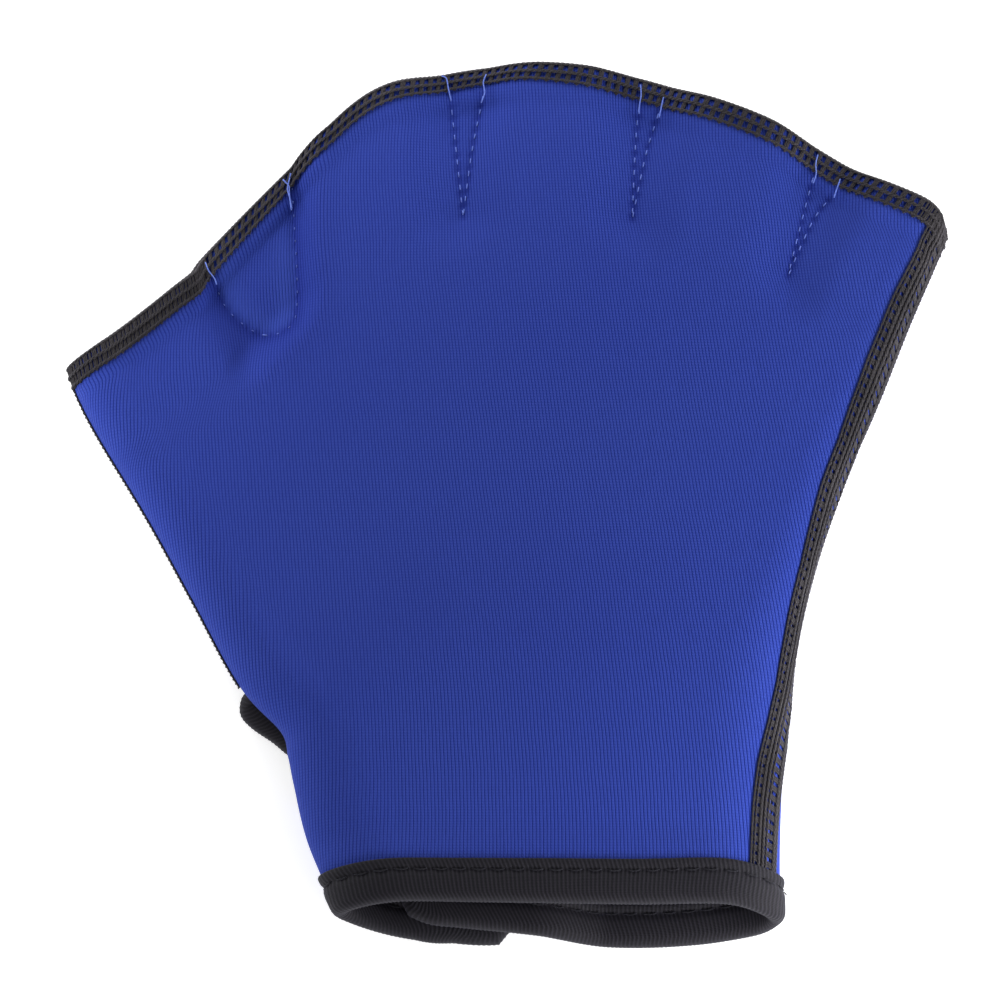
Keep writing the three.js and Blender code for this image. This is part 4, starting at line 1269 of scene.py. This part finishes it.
# The tape's inner face, against the cloth's edge: inset, out, up
TAPE_LINING = ((0.2, 0.0, -1.14), (0.0, 0.2, 0.0), (0.2, 0.0, 1.14))
# Half of the tape's section, from its inner edge to the fold: inset, out, up
TAPE_SECTION = (
    (8.3, 0.0, 1.16), (8.35, 0.0, 1.6), (8.22, 0.0, 1.98), (7.9, 0.0, 2.14), (7.3, 0.0, 2.2),
    (6.7, 0.0, 2.14), (6.15, 0.0, 1.92), (GROOVE_INSET, 0.0, 1.68), (4.95, 0.0, 1.92),
    (4.2, 0.0, 2.2), (3.2, 0.0, 2.3), (2.1, 0.0, 2.3), (1.0, 0.0, 2.28), (0.0, 0.15, 2.2),
    (0.0, 0.95, 1.98), (0.0, 1.6, 1.6), (0.0, 2.05, 1.0), (0.0, 2.25, 0.4),
)


class GLOVE_OT_tape(bpy.types.Operator):
    """Ribbed binding tape round the cuff, the strap and the wrist opening"""

    bl_idname = "glove.tape"
    bl_label = "Cuff tape"

    def execute(self, context):
        pitch = context.scene.glove_sizes.rib * 1000
        binding = cuff_binding(0.5)
        count = int(binding.length / pitch) * 4
        run = np.linspace(0.02, binding.length - 0.02, count + 1)
        half = np.array(TAPE_SECTION)
        outer = np.concatenate([half, half[::-1] * (1, 1, -1)])
        section = np.concatenate([outer, TAPE_LINING])
        ribbed = np.concatenate([np.ones(len(outer)), np.zeros(3)])
        ribbed[[0, len(outer) - 1]] = 0
        slant = 0.16 * np.abs(section[:, 0] - GROOVE_INSET) - 0.3 * section[:, 1]
        turns = (run[:, None] + slant[None, :]) / pitch
        dip = 0.09 * (1 - np.cos(2 * np.pi * turns)) / 2 * 1.6 * ribbed[None, :]
        up = section[None, :, 2] - np.sign(section[None, :, 2]) * dip * (section[None, :, 1] < 1.2)
        out = section[None, :, 1] - dip * (section[None, :, 1] >= 1.2)
        grid_run = np.repeat(run[:, None], len(section), axis=1)
        inset = np.repeat(section[None, :, 0], len(run), axis=0)
        points = binding.at(grid_run, inset, out, up)
        n, m = points.shape[:2]
        k, q = np.meshgrid(np.arange(n - 1), np.arange(m), indexing="ij")
        a, b = k * m + q, k * m + (q + 1) % m
        faces = np.stack([a, b, b + m, a + m], axis=-1).reshape(-1, 4).tolist()
        faces.append(list(range(m))[::-1])
        faces.append([(n - 1) * m + q for q in range(m)])
        depth = np.concatenate([[0], np.cumsum(np.linalg.norm(np.diff(section, axis=0), axis=1))])
        uv = np.stack([turns, np.repeat(depth[None, :], n, axis=0)], axis=-1).reshape(-1, 2)
        tape = material("ribbed tape")
        piece = add_object("cuff_binding", points.reshape(-1, 3), faces, tape, uv)
        finish_piece(piece, "binding_tape", "cuff_tape")
        return {"FINISHED"}


class GLOVE_OT_tape_stitches(bpy.types.Operator):
    """Row of stitches in the groove of the tape, on both faces"""

    bl_idname = "glove.tape_stitches"
    bl_label = "Tape stitches"

    def execute(self, context):
        pitch = context.scene.glove_sizes.tape_stitch * 1000
        binding = cuff_binding(0.8)
        paths = []
        along = np.linspace(-1, 1, 9)
        for face in (1, -1):
            start = 3.0 if face > 0 else 3.0 + pitch / 2
            for centre in np.arange(start, binding.length - 3, pitch):
                run = centre + along * 1.55
                inset = GROOVE_INSET + 0.1 - 0.42 * (1 - along**2)
                up = face * (1.78 + 0.22 * (1 - along**4) - 0.3 * along**8)
                paths.append((binding.at(run, inset, 0 * run, up), 0.15))
        tail = rounded_line(((64.2, 9.8), (64.8, 9.5), (65.2, 8.9)), 0.3)
        heights = np.linspace(9.0, 9.4, len(tail))[:, None]
        paths.append((np.concatenate([tail, heights], axis=1), 0.16))
        piece = thread_piece("tape_stitches", paths, material("tape thread"))
        finish_piece(piece, "black_thread")
        return {"FINISHED"}


SERGE_TURN = 1.3
SERGE_ARC = SERGE_TURN * math.pi / 2


def serge_wrap(place, lift):
    """Inset, out and up at a place round the cut edge; 0 is its middle, below 0 the outer face."""
    angle = np.clip(place / SERGE_TURN, -math.pi / 2, math.pi / 2)
    inset = np.maximum(np.abs(place) - SERGE_ARC, 0)
    out = (0.42 + lift) * np.cos(angle)
    up = -(CLOTH / 2 + 0.2 + lift) * np.sin(angle)
    return inset, out, up


def narrowed(share):
    """The overlock's width at a share of the edge: less over the middle fingers."""
    return 1 - 0.26 * smoothstep(share, 0.34, 0.46) * (1 - smoothstep(share, 0.54, 0.68))


def overlock_paths(binding, pitch, dense):
    """Bars round the edge and rails along it; bars are closer within dense from either end."""
    paths = []
    count = int(binding.length / pitch)
    pitch = binding.length / count
    reach = SERGE_ARC + 4.55
    place = np.concatenate([
        np.linspace(-reach, -SERGE_ARC, 5), np.linspace(-SERGE_ARC, SERGE_ARC, 9)[1:],
        np.linspace(SERGE_ARC, reach, 5)[1:],
    ])
    shares = np.abs(place) / reach
    narrow = [0.3, *((k + 0.5) * pitch for k in range(count)), binding.length - 0.3]
    for centre in narrow:
        strands = [(-1, 0.27), (0, 0.24), (1, 0.27)]
        if centre < dense[0] or centre > binding.length - dense[1]:
            strands += [(-2.9, 0.26), (2.9, 0.26)]
        for strand, radius in strands:
            fan = mix(0.37, 0.32, np.clip((shares - 0.3) / 0.7, 0, 1))
            longer = 0.3 if strand == 0 else 0.0
            inset, out, up = serge_wrap(place * (1 + longer / reach), 0.1 * (strand == 0))
            inset = inset * narrowed(centre / binding.length)
            run = np.clip(centre + strand * fan + 0.14 * place, 0.01, binding.length - 0.01)
            paths.append((binding.at(run, inset, out, up), radius))
    rail = np.arange(0.0, binding.length, pitch / 6)
    turn = 2 * math.pi * rail / pitch
    for middle, spread, lift, radius in (
        (-SERGE_ARC - 4.05, 0.16, 0.24, 0.23), (-SERGE_ARC - 1.85, 0.24, 0.34, 0.25),
        (-1.35, 0.28, 0.24, 0.27), (0.0, 0.34, 0.26, 0.28), (1.35, 0.28, 0.24, 0.27),
        (SERGE_ARC + 1.85, 0.24, 0.34, 0.25), (SERGE_ARC + 4.05, 0.16, 0.24, 0.23),
    ):
        for phase in (0, math.pi):
            swing = np.sin(turn + phase)
            inset, out, up = serge_wrap(middle + spread * swing, lift + 0.14 * np.cos(turn + phase))
            inset = inset * narrowed(rail / binding.length)
            paths.append((binding.at(rail, inset, out, up), radius))
    return paths


def corner_paths(palm, back):
    """Short threads from one overlocked edge to the other, at both ends."""
    paths = []
    reach = SERGE_ARC + 4.4
    for place in np.linspace(-reach, reach, 27):
        inset, out, up = (np.array([value]) for value in serge_wrap(place, 0.12))
        for palm_run, back_run in ((0.4, 0.4), (palm.length - 0.4, back.length - 0.4)):
            start = palm.at(np.array([palm_run]), inset, out, up)[0]
            stop = back.at(np.array([back_run]), inset, out, up)[0]
            if np.linalg.norm(stop - start) < 6:
                paths.append((np.linspace(start, stop, 3), 0.32))
    return paths


class GLOVE_OT_overlock(bpy.types.Operator):
    """Overlock thread along the finger edges of both panels"""

    bl_idname = "glove.overlock"
    bl_label = "Finger edges"

    def execute(self, context):
        pitch = context.scene.glove_sizes.overlock * 1000
        legs = {
            "palm": (range(PALM_UNDER + 1, PALM_SEAM + 1), 1, (46.0, 5.0)),
            "back": (range(BACK_EDGE, BACK_SEAM + 1), -1, (4.0, 14.0)),
        }
        bindings = {}
        for side, (columns, flip, dense) in legs.items():
            stations = [((i, LAST_ROW), (i, LAST_ROW - 1)) for i in columns]
            bindings[side] = Binding([(panel(side), stations, flip)], 0.7)
        for side, (columns, flip, dense) in legs.items():
            binding = bindings[side]
            paths = overlock_paths(binding, pitch, dense)
            if side == "back":
                paths += corner_paths(bindings["palm"], binding)
            piece = thread_piece(f"{side}_overlock", paths, material("black thread"))
            finish_piece(piece, "black_thread", f"{side}_finger_edge")
        return {"FINISHED"}


INSET_STEP, ALONG_STEP = 0.15, 0.002  # for reading how the cloth slopes


def seam_point(fold, place, inset, up):
    """A point over a side seam: inset from the fold, up from the cloth's middle."""
    def surface(inset, along):
        share = np.abs(inset) / row_length(along)
        if fold == "little":
            on_palm, on_back = palm_surface(1 - share, along), back_surface(1 - share, along)
            return np.where((inset >= 0)[..., None], on_palm, on_back)
        on_back, on_palm = back_surface(share, along), palm_surface(share, along)
        return np.where((inset >= 0)[..., None], on_back, on_palm)
    point = surface(inset, place)
    across = surface(inset + INSET_STEP, place) - surface(inset - INSET_STEP, place)
    ahead = surface(inset, place + ALONG_STEP) - surface(inset, place - ALONG_STEP)
    normal = np.cross(ahead, across)
    normal /= np.linalg.norm(normal, axis=-1, keepdims=True)
    return point + normal * up[..., None]


# How far in from the fold each flat seam's two borders lie, by share of its length
BANDS = {
    "little": (
        ((0.0, 1.3), (0.1, 0.9), (0.2, 0.0), (0.35, -1.9), (0.5, -1.4), (0.7, -0.3), (1.0, -0.1)),
        ((0.0, 6.8), (0.09, 6.6), (0.15, 6.1), (0.21, 4.9), (0.27, 4.1), (0.33, 3.9), (0.45, 3.9),
         (0.51, 4.4), (0.57, 5.0), (0.64, 5.1), (0.7, 5.9), (0.76, 6.5), (0.86, 6.5), (0.92, 6.0),
         (1.0, 5.8)),
    ),
    "thumb": (((0.0, 0.0), (1.0, 0.0)), ((0.0, 6.2), (1.0, 6.2))),
}
BAND_WIDTH = 5.6
# Lines of chained thread along the band: place across it, swing, lift, radius
BAND_LINES = (
    (0.02, 0.16, 0.3, 0.26), (0.12, 0.18, 0.4, 0.24), (0.4, 0.12, 0.42, 0.18),
    (0.53, 0.16, 0.44, 0.24), (0.6, 0.02, 0.05, 0.24), (0.68, 0.16, 0.44, 0.24),
    (0.86, 0.1, 0.4, 0.18), (0.97, 0.08, 0.28, 0.2),
)


def flatlock_paths(fold, start, end, pitch):
    """Bars and chains of a flat seam between two places along a fold."""
    edge = LITTLE_FOLD if fold == "little" else THUMB_FOLD
    outer_border, inner_border = BANDS[fold]
    length = (end - start) * edge.length
    count = int(length / pitch)
    paths = []

    def add(run, place, up, radius):
        share = np.clip(run, 0, length) / length
        first, last = np.interp(share, *zip(*outer_border)), np.interp(share, *zip(*inner_border))
        inset = mix(first, last, place)
        point = seam_point(fold, mix(start, end, share), inset, CLOTH / 2 + up + 0 * inset)
        paths.append((point, radius))

    outer, inner = np.linspace(0.0, 0.57, 13), np.linspace(0.63, 0.975, 7)
    for k in range(count):
        centre = (k + 0.5) * length / count
        for offset in (-0.48, 0.0, 0.48):
            add(centre + offset + 0.5 * outer, outer, 0.2, 0.26)
        for offset in (-0.62, 0.0, 0.62):
            tip = inner - (0.0 if offset == 0 else 0.16 * (inner - 0.63))
            add(centre + offset * (1.6 - inner) + 0.5 * inner, tip, 0.2, 0.28)
    rail = np.arange(0, length, pitch / 6)
    turn = 2 * math.pi * rail / pitch
    for place, spread, lift, radius in BAND_LINES:
        for phase in (0, math.pi):
            swing = spread * np.sin(turn + phase) / BAND_WIDTH
            add(rail, place + swing, lift + 0.12 * np.cos(turn + phase), radius)
    return paths


class GLOVE_OT_side_seam(bpy.types.Operator):
    """Flat stitched seam along the little finger side"""

    bl_idname = "glove.side_seam"
    bl_label = "Side seam"

    def execute(self, context):
        pitch = context.scene.glove_sizes.flatlock * 1000
        start = (TAPE_ROW - 0.8) / LITTLE_FOLD.length
        end = 1 - 0.4 / LITTLE_FOLD.length
        paths = flatlock_paths("little", start, end, pitch)
        piece = thread_piece("side_flatlock", paths, material("black thread"))
        finish_piece(piece, "black_thread", "side_seam")
        return {"FINISHED"}


class GLOVE_OT_thumb_seam(bpy.types.Operator):
    """Flat stitched seam under the thumb side"""

    bl_idname = "glove.thumb_seam"
    bl_label = "Thumb seam"

    def execute(self, context):
        pitch = context.scene.glove_sizes.flatlock * 1000
        end = 1 - (SERGE_ROW - 0.6) / THUMB_FOLD.length
        paths = flatlock_paths("thumb", THUMB_SEAM_END, end, pitch)
        piece = thread_piece("thumb_flatlock", paths, material("black thread"))
        finish_piece(piece, "black_thread", "thumb_seam")
        return {"FINISHED"}


def cloth_tree(name):
    piece = bpy.data.objects[name]
    mesh = piece.data
    return BVHTree.FromPolygons([v.co for v in mesh.vertices], [p.vertices for p in mesh.polygons])


class GLOVE_OT_web_stitches(bpy.types.Operator):
    """Pale stitches of the webs between the fingers, on both faces"""

    bl_idname = "glove.web_stitches"
    bl_label = "Web stitches"

    def execute(self, context):
        pitch = context.scene.glove_sizes.web_stitch * 1000
        paths = []
        for name, face in (("palm_cloth", 1), ("back_cloth", -1)):
            tree = cloth_tree(name)
            for number, line in enumerate(stitched_lines()):
                steps = np.linalg.norm(np.diff(line, axis=0), axis=1)
                run = np.concatenate([[0], np.cumsum(steps)])
                bottom = run[np.argmin(line[:, 1])]
                for centre in np.arange(FIRST_STITCH, run[-1] - 0.6, pitch):
                    sunk = number == 0 and centre > 5 and abs(centre - bottom) > pitch / 2
                    share = np.linspace(-1, 1, 7)
                    place = np.clip(centre + share * (0.25 if sunk else 0.58), 0, run[-1])
                    x, y = (np.interp(place, run, line[:, k]) for k in (0, 1))
                    path = []
                    for px, py, s in zip(x, y, share):
                        start = Vector(to_frame((px, py, 60.0 * face)).tolist())
                        hit, normal, _, _ = tree.ray_cast(start, Vector((0, 0, -face)))
                        if hit is None:
                            continue
                        lift = 0.14 * (1 - s**4) - 0.22 * s**8
                        path.append(np.array(hit) * 1000 - ORIGIN + (0, 0, face * lift))
                    if len(path) == len(share):
                        paths.append((np.array(path), 0.1 if sunk else 0.145))
        palm_tree = cloth_tree("palm_cloth")
        for line in THREAD_TAILS:
            path = []
            for px, py in rounded_line(line, 0.5):
                hit = palm_tree.find_nearest(Vector(to_frame((px, py, 14.0)).tolist()))[0]
                inside = np.array(hit) * 1000 - ORIGIN
                path.append((px, py, inside[2] + 0.95))
            paths.append((np.array(path), 0.17))
        piece = thread_piece("web_stitches", paths, material("pale blue thread"))
        finish_piece(piece, "blue_cloth")
        return {"FINISHED"}


class GLOVE_OT_hook_patch(bpy.types.Operator):
    """Patch of hook tape on the strap"""

    bl_idname = "glove.hook_patch"
    bl_label = "Hook patch"

    def execute(self, context):
        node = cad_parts["closure_patch"]
        mesh = node.data.copy()
        mesh.materials.clear()
        mesh.materials.append(material("hook tape"))
        piece = bpy.data.objects.new("hook_patch", mesh)
        context.scene.collection.objects.link(piece)
        edge = piece.modifiers.new("edge", "BEVEL")
        edge.width = 0.0002
        edge.segments = 2
        finish_piece(piece, "hook_tape", "closure_patch")
        return {"FINISHED"}


FLOOR_HALF = 3.0


class GLOVE_OT_stage(bpy.types.Operator):
    """Pale floor, soft lights and the camera"""

    bl_idname = "glove.stage"
    bl_label = "Stage"

    def execute(self, context):
        scene = context.scene
        mesh = bpy.data.meshes.new("floor")
        signs = ((-1, -1), (1, -1), (1, 1), (-1, 1))
        corners = [(FLOOR_HALF * x, FLOOR_HALF * y, 0) for x, y in signs]
        mesh.from_pydata(corners, [], [(0, 1, 2, 3)])
        floor = bpy.data.objects.new("floor", mesh)
        floor.location.z = -0.0003
        scene.collection.objects.link(floor)
        finish, graph, shader = new_material("floor", 0.9)
        shader.inputs["Base Color"].default_value = (0.9, 0.9, 0.9, 1)
        shader.inputs["Emission Color"].default_value = (1, 1, 1, 1)
        shader.inputs["Emission Strength"].default_value = 0.55
        mesh.materials.append(finish)

        world = bpy.data.worlds.new("studio")
        world.use_nodes = True
        world.node_tree.nodes["Background"].inputs["Color"].default_value = (1, 1, 1, 1)
        world.node_tree.nodes["Background"].inputs["Strength"].default_value = 0.25
        scene.world = world
        scene.view_settings.view_transform = "Standard"
        lights = (
            ("right softbox", (0.175, -0.05, 0.065), 0.3, 0.385),
            ("left softbox", (-0.175, 0.03, 0.065), 0.3, 0.225),
            ("top softbox", (-0.02, 0.175, 0.065), 0.3, 0.2),
            ("bottom softbox", (0.08, -0.18, 0.065), 0.3, 0.195),
        )
        for name, place, width, power in lights:
            lamp = bpy.data.lights.new(name, "AREA")
            lamp.shape = "RECTANGLE"
            lamp.size = width
            lamp.size_y = 0.06
            lamp.energy = power
            holder = bpy.data.objects.new(name, lamp)
            holder.location = place
            holder.rotation_mode = "QUATERNION"
            holder.rotation_quaternion = (-Vector(place)).to_track_quat("-Z", "Y")
            holder.visible_camera = False
            scene.collection.objects.link(holder)

        elevation = math.radians(77)
        back = Vector((0, -math.cos(elevation), math.sin(elevation)))
        upward = Vector((0, math.sin(elevation), math.cos(elevation)))
        pixel = 0.0002325
        target = Vector((1, 0, 0)) * (-6.5 * pixel) + upward * (12.2 * pixel)
        camera = bpy.data.cameras.new("camera")
        camera.type = "ORTHO"
        camera.ortho_scale = 1001 * pixel
        camera.clip_start, camera.clip_end = 0.01, 10
        holder = bpy.data.objects.new("camera", camera)
        holder.location = target + back * 1.0
        holder.rotation_mode = "QUATERNION"
        holder.rotation_quaternion = (-back).to_track_quat("-Z", "Y")
        scene.collection.objects.link(holder)
        scene.camera = holder
        return {"FINISHED"}


class GLOVE_PT_panel(bpy.types.Panel):
    """Lists the glove's pieces and their sizes and colours"""

    bl_idname = "GLOVE_PT_panel"
    bl_label = "Swim glove"
    bl_space_type = "VIEW_3D"
    bl_region_type = "UI"
    bl_category = "Swim glove"

    def draw(self, context):
        for settings in (context.scene.glove_sizes, context.scene.glove_colours):
            box = self.layout.box()
            for key in type(settings).__annotations__:
                box.prop(settings, key)
        for operator in OPERATORS:
            self.layout.operator(operator.bl_idname)


OPERATORS = (
    GLOVE_OT_palm,
    GLOVE_OT_back,
    GLOVE_OT_tape,
    GLOVE_OT_tape_stitches,
    GLOVE_OT_overlock,
    GLOVE_OT_side_seam,
    GLOVE_OT_thumb_seam,
    GLOVE_OT_web_stitches,
    GLOVE_OT_hook_patch,
    GLOVE_OT_stage,
)
CLASSES = (GloveColours, GloveSizes, *OPERATORS, GLOVE_PT_panel)


def register():
    for entry in CLASSES:
        bpy.utils.register_class(entry)
    bpy.types.Scene.glove_colours = bpy.props.PointerProperty(type=GloveColours)
    bpy.types.Scene.glove_sizes = bpy.props.PointerProperty(type=GloveSizes)


def unregister():
    del bpy.types.Scene.glove_sizes
    del bpy.types.Scene.glove_colours
    for entry in reversed(CLASSES):
        bpy.utils.unregister_class(entry)


def main():
    register()
    for operator in OPERATORS:
        group, action = operator.bl_idname.split(".")
        getattr(getattr(bpy.ops, group), action)()


if __name__ == "__main__":
    main()
